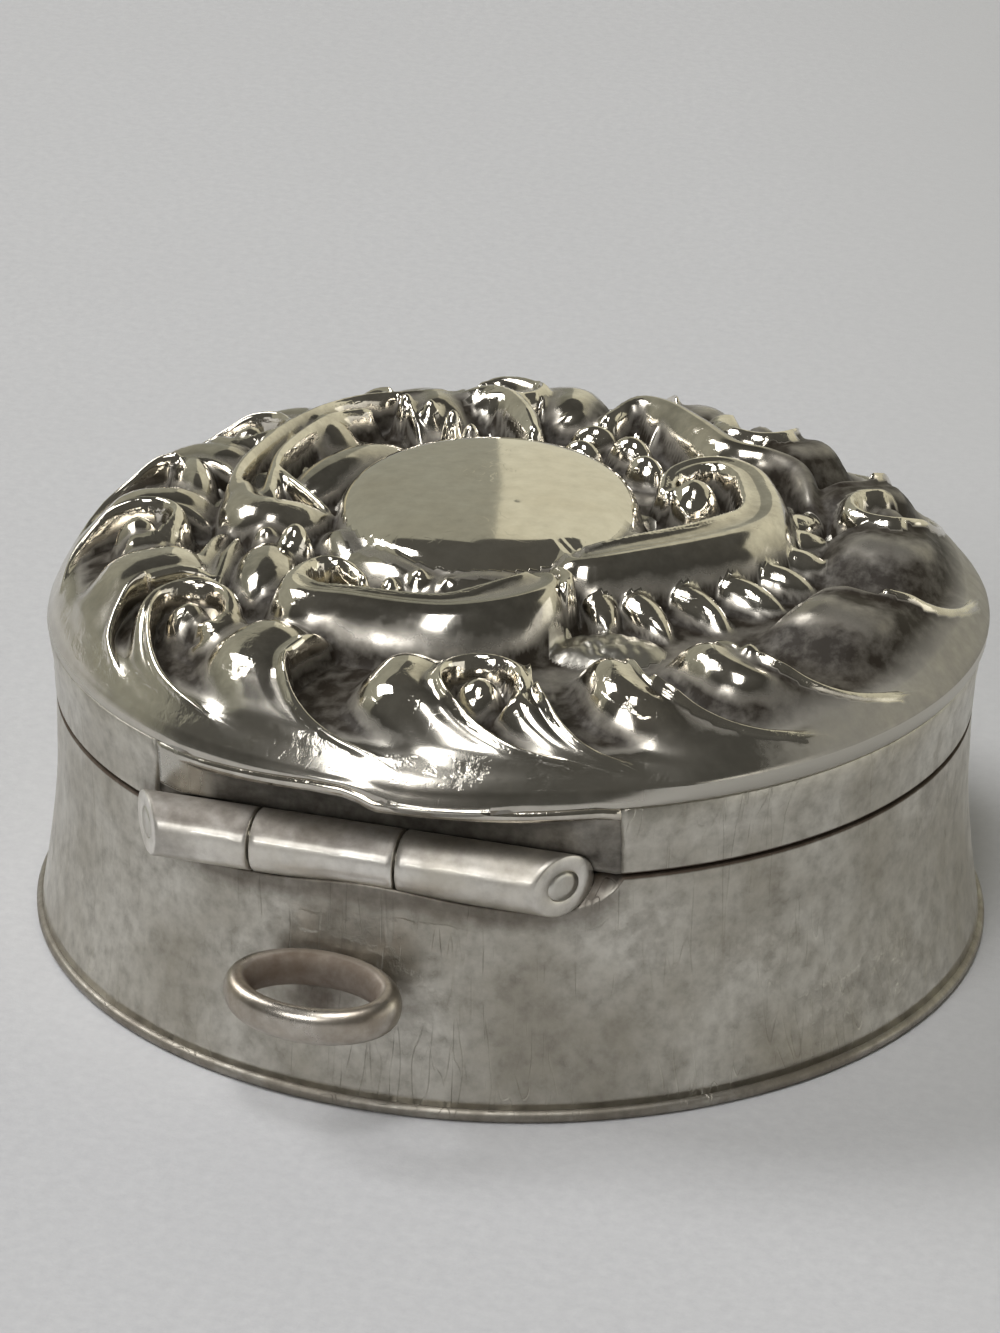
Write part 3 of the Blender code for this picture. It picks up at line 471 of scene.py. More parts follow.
def stain_and_shade_film(points):
    """Film on wall and band: strength * exp(-u^2 - v^2) round each stain, painted shade by tubes and seam.
    """
    side = np.arctan2(points[:, 1], points[:, 0]) - WALL_SIDE
    side = (side + pi) % (2 * pi) - pi
    film = np.zeros(len(points))
    for angle, height, wide, high, strength in STAINS:
        u = (side - radians(angle)) * WAIST_RADIUS * 1000 / wide
        v = (points[:, 2] * 1000 - height) / high
        film = np.maximum(film, strength * np.exp(-u * u - v * v))
    from_axis = np.hypot(points[:, 1] - HINGE_REACH, points[:, 2] - SEAM_HEIGHT)
    beside = np.interp(np.abs(points[:, 0] - HINGE_OFFSET), UNDER_TUBE_SHADE_SPREAD, (1, 0))
    film = np.maximum(film, beside * np.interp(from_axis, UNDER_TUBE_SHADE_REACH, (UNDER_TUBE_SHADE, 0)))
    return np.maximum(film, np.interp(points[:, 2], SEAM_SHADE_HEIGHTS, (0, 1, 1, 0)))


def edge_film(points):
    """Film on the proud edge of the floor disc alone."""
    radius = np.hypot(points[:, 0], points[:, 1])
    return np.interp(radius, (FLOOR_RADIUS - 0.0006, FOOT_RADIUS - 0.0001), (0, EDGE_FILM))


def store(piece, layer, values):
    """Keep one value for each vertex of a piece under a layer's name."""
    values = np.asarray(values, np.float32).ravel()
    piece.data.attributes.new(layer, "FLOAT", "POINT").data.foreach_set("value", values)


def vertex_places(piece):
    """Places (n, 3) of a piece's vertices."""
    points = np.empty(len(piece.data.vertices) * 3, np.float32)
    piece.data.vertices.foreach_get("co", points)
    return points.reshape(-1, 3)


wall_stain_and_shade = stain_and_shade_film(vertex_places(wall))
store(wall, "tarnish_and_shade", wall_stain_and_shade)
store(floor_disc, "tarnish_and_shade", edge_film(vertex_places(floor_disc)))
print("stained share of the wall", round(float((wall_stain_and_shade > 0.2).mean()), 3))

# %% [markdown]
# The inner collar, over which the lid slides, and the lid's side band are rings with a gap at the
# hinge. Each is its own closed section carried along an arc, and it stops on a flat cut.

# %% Open rings
ARC_STATIONS = 241


def open_ring(name, radius, height, gap_angle):
    """A section (radius, height) carried round from one side of the hinge gap to the other."""
    share = np.linspace(0, 1, ARC_STATIONS)[:, None]
    angles = pi / 2 + gap_angle + (2 * pi - 2 * gap_angle) * share
    grid = np.stack((radius * np.cos(angles), radius * np.sin(angles),
                     np.broadcast_to(height, angles.shape)), -1)
    return skin(name, grid, flip=True)


def round_section(outline, cut=EDGE_ROUND):
    """Each corner of a closed outline (r, z) cut back to both sides, so that it catches light."""
    corners = np.array(outline)
    before, after = np.roll(corners, 1, 0) - corners, np.roll(corners, -1, 0) - corners
    before *= cut / np.linalg.norm(before, axis=1)[:, None]
    after *= cut / np.linalg.norm(after, axis=1)[:, None]
    return np.stack((corners + before, corners + after), 1).reshape(-1, 2).T


COLLAR_CHAMFER = 0.0002
collar_low, collar_high = SEAM_HEIGHT - BEZEL_DEPTH, SEAM_HEIGHT + BEZEL_RISE
collar_inner = BEZEL_RADIUS - BEZEL_THICKNESS
collar_r, collar_z = round_section(((BEZEL_RADIUS, collar_low), (BEZEL_RADIUS, collar_high - COLLAR_CHAMFER),
                                    (BEZEL_RADIUS - COLLAR_CHAMFER, collar_high),
                                    (collar_inner, collar_high), (collar_inner, collar_low)))
gap = np.arccos((HINGE_REACH - BEARER_RADIUS - SOLDER_GAP) / collar_r)
collar = open_ring("inner_collar", collar_r, collar_z, gap)
place(collar, "base", "inner_silver", INNER, "inner_bezel")

# %% [markdown]
# The band leans out a little towards the top. One extra corner just above its lower edge keeps the
# painted shade of the seam from running up the whole band.

# %% Side band of the lid
SEAM_STEP = 0.00015
BAND_LEAN_SHARE = 0.25
band_middle = (BAND_FOOT + BAND_TOP) / 2
band_middle_radius = BAND_RADIUS + BAND_FLARE * BAND_LEAN_SHARE
band_high = BAND_TOP + SOLDER_GAP / 2
band_inner = BAND_RADIUS - BAND_THICKNESS
band_r, band_z = round_section(((BAND_RADIUS, BAND_FOOT), (BAND_RADIUS + 0.00001, BAND_FOOT + SEAM_STEP),
                                (band_middle_radius, band_middle), (BAND_TOP_RADIUS, band_high),
                                (BAND_TOP_RADIUS - BAND_THICKNESS, band_high),
                                (band_inner, band_middle), (band_inner, BAND_FOOT)))
band = open_ring("lid_side_band", band_r, band_z, np.arcsin(NOTCH_HALF_WIDTH / band_r))
place(band, "lid", "satin_silver", SATIN, "lid_band")
store(band, "tarnish_and_shade", stain_and_shade_film(vertex_places(band)))

# %% [markdown]
# ## The hinge
# Three pieces of drawn tube turn on one wire. The smith filed the outer ends obliquely once the pin
# was in, so tube and pin end on the same slanting plane. A ring of the grid leans where the end is
# slanted: its farther side is drawn back by the tangent of the slant.

# %% Tubes
TUBE_COLUMNS = 64
TUBE_ANGLES = np.linspace(0, 2 * pi, TUBE_COLUMNS, endpoint=False)
TUBE_ROWS = 25
BORE_ROWS = 7


def along_hinge(radius, start, end, shares, slant_start=0, slant_end=0):
    """Grid of rings along the hinge; a slanted end is drawn back where it is farther out."""
    lean = radius[:, None] * np.cos(TUBE_ANGLES) * tan(END_SLANT)
    low, high = start + slant_start * lean, end - slant_end * lean
    x = low + (high - low) * shares[:, None]
    return np.stack((HINGE_OFFSET + x, HINGE_REACH + radius[:, None] * np.cos(TUBE_ANGLES),
                     SEAM_HEIGHT + radius[:, None] * np.sin(TUBE_ANGLES)), -1)


def hinge_tube(name, start, end, slant_start=0, slant_end=0):
    """A tube with softened ends: outside, end face, bore and end face again."""
    bore = PIN_RADIUS + PIN_CLEARANCE
    soft = EDGE_ROUND / (end - start)
    faces = (TUBE_RADIUS - EDGE_ROUND, bore + EDGE_ROUND)
    radius = np.concatenate((np.full(TUBE_ROWS, TUBE_RADIUS), faces, np.full(BORE_ROWS, bore), faces[::-1]))
    shares = np.concatenate((np.linspace(soft, 1 - soft, TUBE_ROWS), (1, 1),
                             np.linspace(1 - soft, soft, BORE_ROWS), (0, 0)))
    grid = along_hinge(radius, start, end, shares, slant_start, slant_end)
    return skin(name, grid, joined=True, flip=True)


full = HINGE_HALF_LENGTH - TUBE_RADIUS * tan(END_SLANT)
right_joint, left_joint = MIDDLE_OFFSET - MIDDLE_LENGTH / 2, MIDDLE_OFFSET + MIDDLE_LENGTH / 2
left_tube = hinge_tube("hinge_tube_left", left_joint, full, 0, 1)
middle_tube = hinge_tube("hinge_tube_middle", right_joint + KNUCKLE_GAP, left_joint - KNUCKLE_GAP)
right_tube = hinge_tube("hinge_tube_right", -full, right_joint, 1, 0)

# %% [markdown]
# The rim overhangs the tubes, so their upper side is darkened with painted shade, and the tubes grow
# darker towards the left end, while the front stays clean. So the film depends on the turn round the
# tube and on the place along it.

# %% Painted shade and film on the tubes
# Painted shade on the tubes' upper side, under the rim.
TUBE_SHADE_TURNS = (20, 36)
TUBE_TOP_SHADE = 0.7
LEFT_END_FILM = 0.45


def tube_shade_and_film(points):
    """Painted shade above 20 degrees of turn, less to the right, and more film towards the left end."""
    y, z = points[:, 1] - HINGE_REACH, points[:, 2] - SEAM_HEIGHT
    film = np.interp(np.degrees(np.arctan2(z, y)), TUBE_SHADE_TURNS, (0, TUBE_TOP_SHADE))
    film = film * np.interp(points[:, 0], (-0.009, -0.003, 0.001), (0.45, 0.6, 1))
    film = np.maximum(film, np.interp(points[:, 0], (0.0062, 0.0084), (0, LEFT_END_FILM)))
    return film * (np.hypot(y, z) > TUBE_RADIUS - EDGE_ROUND / 2)


for tube, body, knuckle in ((left_tube, "base", "base_knuckle_left"), (middle_tube, "lid", "lid_knuckle"),
                            (right_tube, "base", "base_knuckle_right")):
    place(tube, body, "hinge_silver", TUBE, knuckle)
    store(tube, "tarnish_and_shade", tube_shade_and_film(vertex_places(tube)))
    print(tube.name, "rides on the", body)

# %% [markdown]
# The pin is a plain wire. Its ends were hammered to fill the bore, so the last rings are wider, and
# the very edge is rounded in.

# %% Pin
pin_head = PIN_RADIUS + PIN_CLEARANCE * 0.8
pin_half = (PIN_RADIUS * 0.6, pin_head)
pin_radius = np.concatenate((pin_half, np.full(7, PIN_RADIUS), pin_half[::-1]))
pin_shares = np.concatenate(([0], np.linspace(0, 1, 9), [1]))
pin = skin("hinge_pin_wire", along_hinge(pin_radius, -full, full, pin_shares, 1, 1), flip=True)
place(pin, "base", "pin_silver", WIRE, "hinge_pin")

# %% [markdown]
# ## The plate above the tubes
# Years of use have pressed the rim up on the left of the hinge and beaten it down over the middle.
# A table of places along the hinge holds this, and both the rim and the plate below read it.

# %% Rim over the hinge
RIM_SHIFT_PLACES = (-0.0089, -0.0083, -0.0058, -0.0042, -0.0026, -0.0013, -0.0007, 0.0003, 0.0009, 0.0022,
                    0.0046, 0.0080, 0.0089)
RIM_SHIFTS = (0, 0.0001, 0, -0.00028, -0.0004, -0.00036, -0.00018, 0.00028, 0.00044, 0.00044, 0.0002,
              -0.0001, 0)
RIM_BULGE_SHARE = 0.3


def rim_shift(x, side):
    """How far the rim's lower edge stands above its plain height at x, on the hinge side alone."""
    return np.where(side > 0, np.interp(x, RIM_SHIFT_PLACES, RIM_SHIFTS), 0)


print("rim shifted by up to", max(RIM_SHIFTS) * 1000, "mm")

# %% [markdown]
# Over the tubes the lid has a bent plate. It closes the notch in the band, hugs the middle tube from
# behind and runs up to the rim in a hollow curve, the dark cove above the tubes. It is a profile
# whose places change from station to station along the hinge, filled out to the band at its ends.

# %% The plate's profile
COVE_STATIONS = np.linspace(-1, 1, 91) * (NOTCH_HALF_WIDTH - 0.000012)
COVE_STEPS = 14
SEAT_STEPS = 9
END_FILL_PLACES = (-0.009, -0.0088, -0.0084, 0.0046, 0.0058, 0.0070, 0.0080, 0.0088)
END_FILLS = (0.9, 0.5, 0, 0, 0.16, 0.6, 0.92, 1)
SEAT_START = pi - 0.13
SEAT_END = radians(125)


def band_skin(height):
    """Outer radius of the band at a height: straight lines between its foot, middle and top."""
    return np.interp(height, (BAND_FOOT, band_middle, BAND_TOP),
                     (BAND_RADIUS, band_middle_radius, BAND_TOP_RADIUS))


seat_turn = np.linspace(SEAT_START, SEAT_END, SEAT_STEPS)
seat_y = HINGE_REACH + SEAT_RADIUS * np.cos(seat_turn)
seat_z = SEAM_HEIGHT + SEAT_RADIUS * np.sin(seat_turn)
ledge = BAND_TOP - BEARER_THICKNESS
cove_turn = np.linspace(0, pi / 2, COVE_STEPS)[1:]
station_x = COVE_STATIONS[:, None]
raised = np.clip(rim_shift(station_x, 1), 0, 1)
cove_z = seat_z[-1] + (ledge + raised - seat_z[-1]) * np.sin(cove_turn)
level = 0 * raised
plate_z = np.concatenate((level + BAND_FOOT, level + seat_z, cove_z, BAND_TOP + raised, level + BAND_TOP), 1)
print("cove from", round(seat_z[-1] * 1000, 2), "to", round(ledge * 1000, 2), "mm")

# %% [markdown]
# The plate's outer face stays a hair inside the band's skin. Its first column of places is the foot,
# then come the seat, the cove and the top, and the plain back closes the section.

# %% The plate
plate_back = HINGE_REACH - BEARER_RADIUS
outer_y = np.sqrt(band_skin(plate_z) ** 2 - station_x ** 2)
plate_y = np.empty(plate_z.shape)
plate_y[:, 0] = plate_y[:, -1] = plate_back
seat_part, cove_part = slice(1, SEAT_STEPS + 1), slice(SEAT_STEPS + 1, -2)
plate_y[:, seat_part] = np.minimum(seat_y, outer_y[:, seat_part] - EDGE_ROUND)
cove_foot = plate_y[:, SEAT_STEPS:SEAT_STEPS + 1]
reach_y = outer_y[:, cove_part] - cove_foot
hollow = np.clip(reach_y, 0, None) * (1 - np.cos(cove_turn))
filled = np.interp(station_x, END_FILL_PLACES, END_FILLS)
plate_y[:, cove_part] = cove_foot + hollow + filled * np.clip(reach_y - hollow, 0, None)
plate_y[:, -2] = outer_y[:, -2]
plate_grid = np.stack((np.broadcast_to(station_x, plate_y.shape), plate_y, plate_z), -1)
cove = skin("hinge_cove", plate_grid, flip=True)
place(cove, "lid", "satin_silver", POLISHED, "lid_hinge_bearer")

# %% [markdown]
# The cove lies in shade under the rim, so it is painted dark with painted shade up to the rubbed edge
# of the rim. At its left end the plate merges with the band, and takes the band's satin there.

# %% Painted shade in the cove
COVE_SHADE_ROWS = (0, 9, 11, 19, 21.5, 23, 24, 25)
COVE_SHADES = (0.8, 0.9, 0.82, 0.72, 0.5, 0.1, 0.3, 0.5)
cove_rows = np.arange(plate_grid.shape[1])
merged = np.clip(2 * filled - 0.8, 0, 1) * (station_x > 0) * (cove_rows > SEAT_STEPS)
cove_shade = np.interp(cove_rows, COVE_SHADE_ROWS, COVE_SHADES) * (1 - merged)
store(cove, "tarnish_and_shade", np.append(cove_shade.ravel(), (0.8, 0.8)))
store(cove, "satin", np.append(merged.ravel(), (0, 0)))
print("merged share of the cove", round(float(merged.mean()), 3))

# %% [markdown]
# ## The hanging loop
# A flat oval of rounded wire is soldered under the hinge for a ribbon or a chain. It is a small oval
# section carried round a large oval path, then drooped and turned a little. Its back is let into the
# wall, so its points are pushed out to the wall's face wherever they would lie inside it.

# %% Loop
LOOP_HEIGHT = 0.0054
LOOP_WIDTH = 0.0069
LOOP_REACH = 0.00427
LOOP_BAND = 0.0010
LOOP_BAND_HEIGHT = 0.0015
LOOP_SINK = 0.0002
LOOP_TURN = radians(4)
LOOP_DROOP = radians(9)
half_wide = (LOOP_WIDTH - LOOP_BAND) / 2
half_deep = (LOOP_REACH + LOOP_SINK - LOOP_BAND) / 2
loop_back = float(wall_radius(np.array(LOOP_HEIGHT))) - LOOP_SINK + LOOP_BAND / 2
around = np.linspace(0, 2 * pi, 160, endpoint=False)[:, None]
section = np.linspace(0, 2 * pi, 40, endpoint=False)[None, :]
normal = np.stack((np.cos(around) / half_wide, np.sin(around) / half_deep), -1)
normal = normal / np.linalg.norm(normal, axis=-1, keepdims=True)
x = half_wide * np.cos(around) + normal[..., 0] * np.cos(section) * LOOP_BAND / 2
reach = half_deep * (1 + np.sin(around)) + normal[..., 1] * np.cos(section) * LOOP_BAND / 2
rise_z = np.sin(section) * LOOP_BAND_HEIGHT / 2
y = loop_back + reach * cos(LOOP_DROOP) + rise_z * sin(LOOP_DROOP)
z = LOOP_HEIGHT - reach * sin(LOOP_DROOP) + rise_z * cos(LOOP_DROOP)
x, y = x * cos(LOOP_TURN) + y * sin(LOOP_TURN), y * cos(LOOP_TURN) - x * sin(LOOP_TURN)
out = np.maximum(1, (wall_radius(z) - EDGE_ROUND) / np.hypot(x, y))
loop = skin("ribbon_loop", np.stack((x * out, y * out, z), -1), joined=True)
place(loop, "base", "loop_silver", LOOP, "hanging_loop")
# The loop's film: an even share of dirt, with painted shade on the inner side of the wire and on its back
# half by the wall.
loop_dirt_and_shade = 0.32 + 1.1 * np.clip(-np.cos(section) - 0.15, 0, 0.8) + 0.4 * np.clip(-np.sin(around), 0, 1)
store(loop, "tarnish_and_shade", np.clip(loop_dirt_and_shade, 0, 0.85))

# %% [markdown]
# ## The thumb lip
# Opposite the hinge a small crescent of sheet stands out from the band, to lift the lid by. Its
# section is a squared oval, cos^0.35 by sin^0.6, whose depth runs out towards both tips.

# %% Thumb lip
THUMB_WIDTH = 0.0062
THUMB_REACH = 0.0009
THUMB_THICKNESS = 0.0008
THUMB_LIFT = 0.0002
thumb_foot = band_middle_radius + SOLDER_GAP / 2
half_angle = THUMB_WIDTH / 2 / thumb_foot
along = np.linspace(-1, 1, 65)[:, None]
depth = THUMB_REACH * np.cos(along * pi / 2 * 0.995) ** 0.7
thumb_turns = np.linspace(0, 2 * pi, 24, endpoint=False)[None, :]
squared = np.abs(np.cos(thumb_turns)) ** 0.35 * np.sign(np.cos(thumb_turns))
lifted = np.abs(np.sin(thumb_turns)) ** 0.6 * np.sign(np.sin(thumb_turns))
thumb_r = thumb_foot + depth * (0.5 + 0.5 * squared)
thumb_z = BAND_FOOT + THUMB_LIFT + THUMB_THICKNESS * (0.5 + 0.5 * lifted) + 0 * thumb_r
thumb_x, thumb_y = thumb_r * np.sin(along * half_angle), -thumb_r * np.cos(along * half_angle)
thumb_ledge = skin("thumb_ledge", np.stack((thumb_x, thumb_y, thumb_z), -1), flip=True)
place(thumb_ledge, "lid", "hinge_silver", TUBE, "thumb_lip")

# %% [markdown]
# ## The embossed lid
# A silversmith raises this lid from the back with punches, then sharpens it from the front. So it is
# one height over a round plan: a low crown, a border of running waves, two C-scrolls, a fluted shell,
# leaves and a plain oval boss. Places are shares of the lid's radius, x to the right and y away as the
# camera sees them, and rises are shares of the relief.

# %% The lid's own sizes
SHOULDER_RISE = 0.00076
RIM_WIDTH = 0.00136
RIM_RISE = 0.00092
CROWN_RISE = 0.00082
RELIEF_RISE = 0.0019
SHEET_THICKNESS = 0.0005
TOP_OVERHANG = 0.00005
ORNAMENT_TURN = VIEW_AZIMUTH
TOP_FOOT = BAND_TOP + SOLDER_GAP
CORNER_HEIGHT = TOP_FOOT + SHOULDER_RISE


def ground_height(radius):
    """Height of the plain lid: a low crown, crown * (1 - r^2), that runs out into the rolled rim."""
    inner = LID_RADIUS - RIM_WIDTH
    crown = CROWN_RISE * (1 - np.clip(radius / inner, 0, 1) ** 2)
    outward = np.clip((radius - inner) / RIM_WIDTH, 0, 1)
    lean = 2 * CROWN_RISE * RIM_WIDTH / inner
    return CORNER_HEIGHT + RIM_RISE + crown - lean * outward - (RIM_RISE - lean) * outward ** 2


print("plain lid", round(float(ground_height(0) * 1000), 2), "mm high at its middle")

# %% [markdown]
# A border of running waves goes round the lid. The metal climbs slowly from each wave's edge to the
# next and drops steeply there. Short tables say how far an edge lags as it runs outwards, how the
# border rises on its way to the rim, and how a wave rises between its edges.

# %% Tables of the waves
# Each wave: angle of its tip in degrees, how far its edge sweeps, whether its head is hooked
WAVES = ((174, 0.6, 1), (201.5, 0.6, 0), (208, 1.25, 1), (235.7, 1, 0), (259, 1.1, 1), (272.5, 0.6, 0),
         (288.8, 1, 0), (305.8, 1, 0), (336, 1, 0), (363, 1, 1), (381, 1, 0), (402, 1, 1), (424, 1, 0),
         (446, 1, 1), (470, 0.9, 0), (492, 0.9, 1), (514, 0.8, 0))
TIP_ANGLES = np.array([wave[0] for wave in WAVES] + [WAVES[0][0] + 360], float)
SWEEPS = np.array([wave[1] for wave in WAVES] + [WAVES[0][1]])
LAG_RADII_SHARES = (0, 0.78, 0.82, 0.85, 0.89, 0.925, 0.95, 0.965, 0.98)
LAG_ANGLES = (0, 0, 0.5, 1.5, 4.2, 8.3, 13, 17, 21)
BORDER_RADII_SHARES = (0, 0.58, 0.63, 0.67, 0.71, 0.75, 0.81, 0.865, 0.88, 0.90, 0.927, 0.95, 0.975,
                       0.99, 1.2)
BORDER_RISE_SHARES = (0, 0, 0.12, 0.6, 0.9, 1.0, 0.98, 0.85, 0.72, 0.54, 0.30, 0.13, 0.035, 0, 0)
PHASE_SHARES = (0, 0.01, 0.022, 0.035, 0.05, 0.12, 0.31, 0.40, 0.49, 0.57, 0.66, 0.76, 0.85, 0.91,
                0.95, 0.975, 0.99, 1)
PHASE_RISE_SHARES = (0.80, 0.62, 0.35, 0.1, 0, 0, 0.03, 0.14, 0.44, 0.76, 0.93, 0.97, 0.92, 0.86,
                     0.86, 0.93, 0.92, 0.80)


def smooth_table(places, values, steps=600):
    """A table made fine and smooth, (places, values): cubic pieces whose slopes are the harmonic means
    of the slopes beside them, so that nothing overshoots."""
    x, y = np.array(places, float), np.array(values, float)
    slope = np.diff(y) / np.diff(x)
    ahead, behind = slope[1:], slope[:-1]
    same = ahead * behind > 0
    inner = np.where(same, 2 * ahead * behind / np.where(same, ahead + behind, 1), 0)
    tangent = np.concatenate(([0], inner, [0]))
    fine = np.unique(np.concatenate((x, np.linspace(x[0], x[-1], steps))))
    i = np.clip(np.searchsorted(x, fine, "right") - 1, 0, len(x) - 2)
    width = x[i + 1] - x[i]
    t = (fine - x[i]) / width
    curve = (y[i] * (1 + 2 * t) * (1 - t) ** 2 + y[i + 1] * t * t * (3 - 2 * t)
             + width * (tangent[i] * t * (1 - t) ** 2 - tangent[i + 1] * t * t * (1 - t)))
    return fine, curve


LAG_TABLE = smooth_table(LAG_RADII_SHARES, LAG_ANGLES)
BORDER_TABLE = smooth_table(BORDER_RADII_SHARES, BORDER_RISE_SHARES)
PHASE_TABLE = smooth_table(PHASE_SHARES, PHASE_RISE_SHARES)
print(len(WAVES), "waves, of which", sum(wave[2] for wave in WAVES), "are hooked")

# %% [markdown]
# For a place on the lid, the wave is the one between whose edges its angle falls, and the phase is
# how far it lies between them. A few thin veins, each a narrow bell exp(-u^2), run along the hollows.

# %% The border of waves
VEIN_PHASES = (0.10, 0.18, 0.27)
VEIN_WIDTH = 0.013
VEIN_RISE_SHARE = 0.3


def edge_angles(radius):
    """Angle in degrees of every wave's edge at each radius: tip + sweep * lag, one column per wave."""
    lag = np.interp(radius, *LAG_TABLE)
    return TIP_ANGLES + np.multiply.outer(lag, SWEEPS)


def wave_phase(x, y):
    """How far a place lies between its wave's two edges, from 0 to 1."""
    angle = np.degrees(np.arctan2(y, x))
    edges = edge_angles(np.hypot(x, y))
    angle = (angle - edges[..., 0]) % 360 + edges[..., 0]
    wave = np.clip((angle[..., None] >= edges).sum(-1) - 1, 0, len(WAVES) - 1)
    low = np.take_along_axis(edges, wave[..., None], -1)[..., 0]
    high = np.take_along_axis(edges, wave[..., None] + 1, -1)[..., 0]
    return (angle - low) / (high - low)


def border_rise(x, y):
    """Saw-tooth of running waves, high at each edge, with thin veins in the hollows."""
    radius = np.hypot(x, y)
    phase = wave_phase(x, y)
    rise = np.interp(radius, *BORDER_TABLE) * np.interp(phase, *PHASE_TABLE)
    window = np.interp(radius, (0.64, 0.72, 0.88, 0.93), (0, 1, 0.8, 0))
    for vein in VEIN_PHASES:
        rise = rise + VEIN_RISE_SHARE * window * np.exp(-((phase - vein) / VEIN_WIDTH) ** 2)
    return rise


print("border's edges lag by up to", LAG_ANGLES[-1], "degrees")

# %% [markdown]
# A scroll or a leaf is a stroke: a smooth curve through a few places, with a width to each side and a
# section read across it. The broad scrolls have a section of their own, a ridge with a groove along
# one side, as a tracing punch leaves it.

# %% Curves and sections
CURVE_STEPS = 7
ACROSS_SHARES = np.linspace(-1, 1, 401)
ROUND_SECTION = ACROSS_SHARES, np.sqrt(1 - ACROSS_SHARES ** 2)
GROOVED_SHARES = (-1, -0.97, -0.9, -0.8, -0.62, -0.4, -0.2, 0, 0.12, 0.4, 0.68, 0.78, 0.86, 0.93, 1)
GROOVED_RISES = (0, 0.17, 0.34, 0.48, 0.68, 0.87, 0.97, 1, 0.975, 0.93, 0.97, 1, 0.93, 0.5, 0)
GROOVED_SECTION = smooth_table(GROOVED_SHARES, GROOVED_RISES)


def smooth_curve(rows):
    """Curve through rows of numbers: cubic pieces, whose slope at a row is half the step between the
    rows before and after it."""
    points = np.array(rows, float)
    points = np.vstack((2 * points[0] - points[1], points, 2 * points[-1] - points[-2]))
    t = np.linspace(0, 1, CURVE_STEPS, endpoint=False)[:, None]
    pieces = [(2 * b + (c - a) * t + (2 * a - 5 * b + 4 * c - d) * t ** 2
               + (3 * b - a - 3 * c + d) * t ** 3) / 2
              for a, b, c, d in zip(points, points[1:], points[2:], points[3:])]
    return np.vstack(pieces + [points[-2:-1]])


print("a curve has", CURVE_STEPS, "steps between two places")

# %% [markdown]
# The distance from a place to a stroke is taken to the curve's short segments, for all places at
# once, and the nearest segment counts. Beads, buds and leaves are half-round knobs on an ellipse.

# %% Strokes and knobs
def stroke(x, y, rows, section=ROUND_SECTION):
    """Rise of a stroke: its height * section(distance / width), 0 beyond its width. Rows hold x, y,
    width to its right, width to its left and rise."""
    curve = smooth_curve(rows)
    margin = curve[:, 2:4].max()
    near = ((x > curve[:, 0].min() - margin) & (x < curve[:, 0].max() + margin)
            & (y > curve[:, 1].min() - margin) & (y < curve[:, 1].max() + margin))
    px, py = x[near], y[near]
    best = np.full(px.shape, np.inf)
    across, height = np.zeros(px.shape), np.zeros(px.shape)
    for a, b in zip(curve, curve[1:]):
        step = b[:2] - a[:2]
        dx, dy = px - a[0], py - a[1]
        t = np.clip((dx * step[0] + dy * step[1]) / max(step @ step, 1e-12), 0, 1)
        ex, ey = dx - t * step[0], dy - t * step[1]
        side = step[0] * ey - step[1] * ex
        width = np.where(side < 0, a[2] + (b[2] - a[2]) * t, a[3] + (b[3] - a[3]) * t)
        distance = np.hypot(ex, ey) / width
        closer = distance < best
        best = np.where(closer, distance, best)
        across = np.where(closer, distance * np.sign(side), across)
        height = np.where(closer, a[4] + (b[4] - a[4]) * t, height)
    rise = np.zeros(x.shape)
    rise[near] = np.where(best < 1, height * np.interp(across, *section), 0)
    return rise


def even(rows):
    """Rows of x, y, half width and rise, made even on both sides."""
    return [(x, y, w, w, h) for x, y, w, h in rows]


def knob(x, y, row):
    """Half-round knob: rise * sqrt(1 - u^2 - v^2) inside its ellipse."""
    px, py, length, width, turn, rise = row
    a = radians(turn)
    u = ((x - px) * cos(a) + (y - py) * sin(a)) / length
    v = ((y - py) * cos(a) - (x - px) * sin(a)) / width
    return rise * np.clip(1 - u * u - v * v, 0, None) ** 0.5


print("a knob of rise 1 is", float(knob(np.zeros(1), np.zeros(1), (0, 0, 1, 1, 0, 1))[0]), "high")

# %% [markdown]
# Two broad C-scrolls hold the boss, one at the front and one at the right, and a fluted shell grows
# from the right one. The real ones were drawn by hand, so each is its own short list of places.

# %% Scrolls and shell
# Rows of a scroll: x, y, width to its right, width to its left, rise
FRONT_SCROLL = ((-0.31, -0.335, 0.02, 0.02, 0.95), (-0.345, -0.285, 0.022, 0.022, 1.05),
                (-0.395, -0.268, 0.026, 0.022, 1.1), (-0.44, -0.31, 0.035, 0.028, 1.12),
                (-0.462, -0.38, 0.05, 0.05, 1.15), (-0.43, -0.44, 0.07, 0.06, 1.15),
                (-0.35, -0.465, 0.08, 0.06, 1.15), (-0.235, -0.505, 0.088, 0.065, 1.15),
                (-0.134, -0.52, 0.088, 0.075, 1.15), (-0.034, -0.495, 0.08, 0.10, 1.15),
                (0.045, -0.45, 0.05, 0.11, 1.15), (0.075, -0.40, 0.03, 0.09, 1.12),
                (0.065, -0.345, 0.025, 0.05, 1.05), (0.02, -0.315, 0.02, 0.03, 0.9))
RIGHT_SCROLL = ((0.10, -0.225, 0.05, 0.03, 0.95), (0.13, -0.285, 0.075, 0.07, 1.1),
                (0.253, -0.24, 0.09, 0.095, 1.15), (0.378, -0.178, 0.085, 0.10, 1.18),
                (0.463, -0.12, 0.08, 0.105, 1.2), (0.52, -0.05, 0.07, 0.095, 1.2),
                (0.54, 0.03, 0.06, 0.085, 1.2), (0.535, 0.13, 0.055, 0.08, 1.2),
                (0.51, 0.24, 0.05, 0.07, 1.18), (0.45, 0.305, 0.045, 0.055, 1.15),
                (0.38, 0.30, 0.04, 0.045, 1.1), (0.325, 0.25, 0.03, 0.035, 1.0),
                (0.31, 0.18, 0.025, 0.03, 0.85))
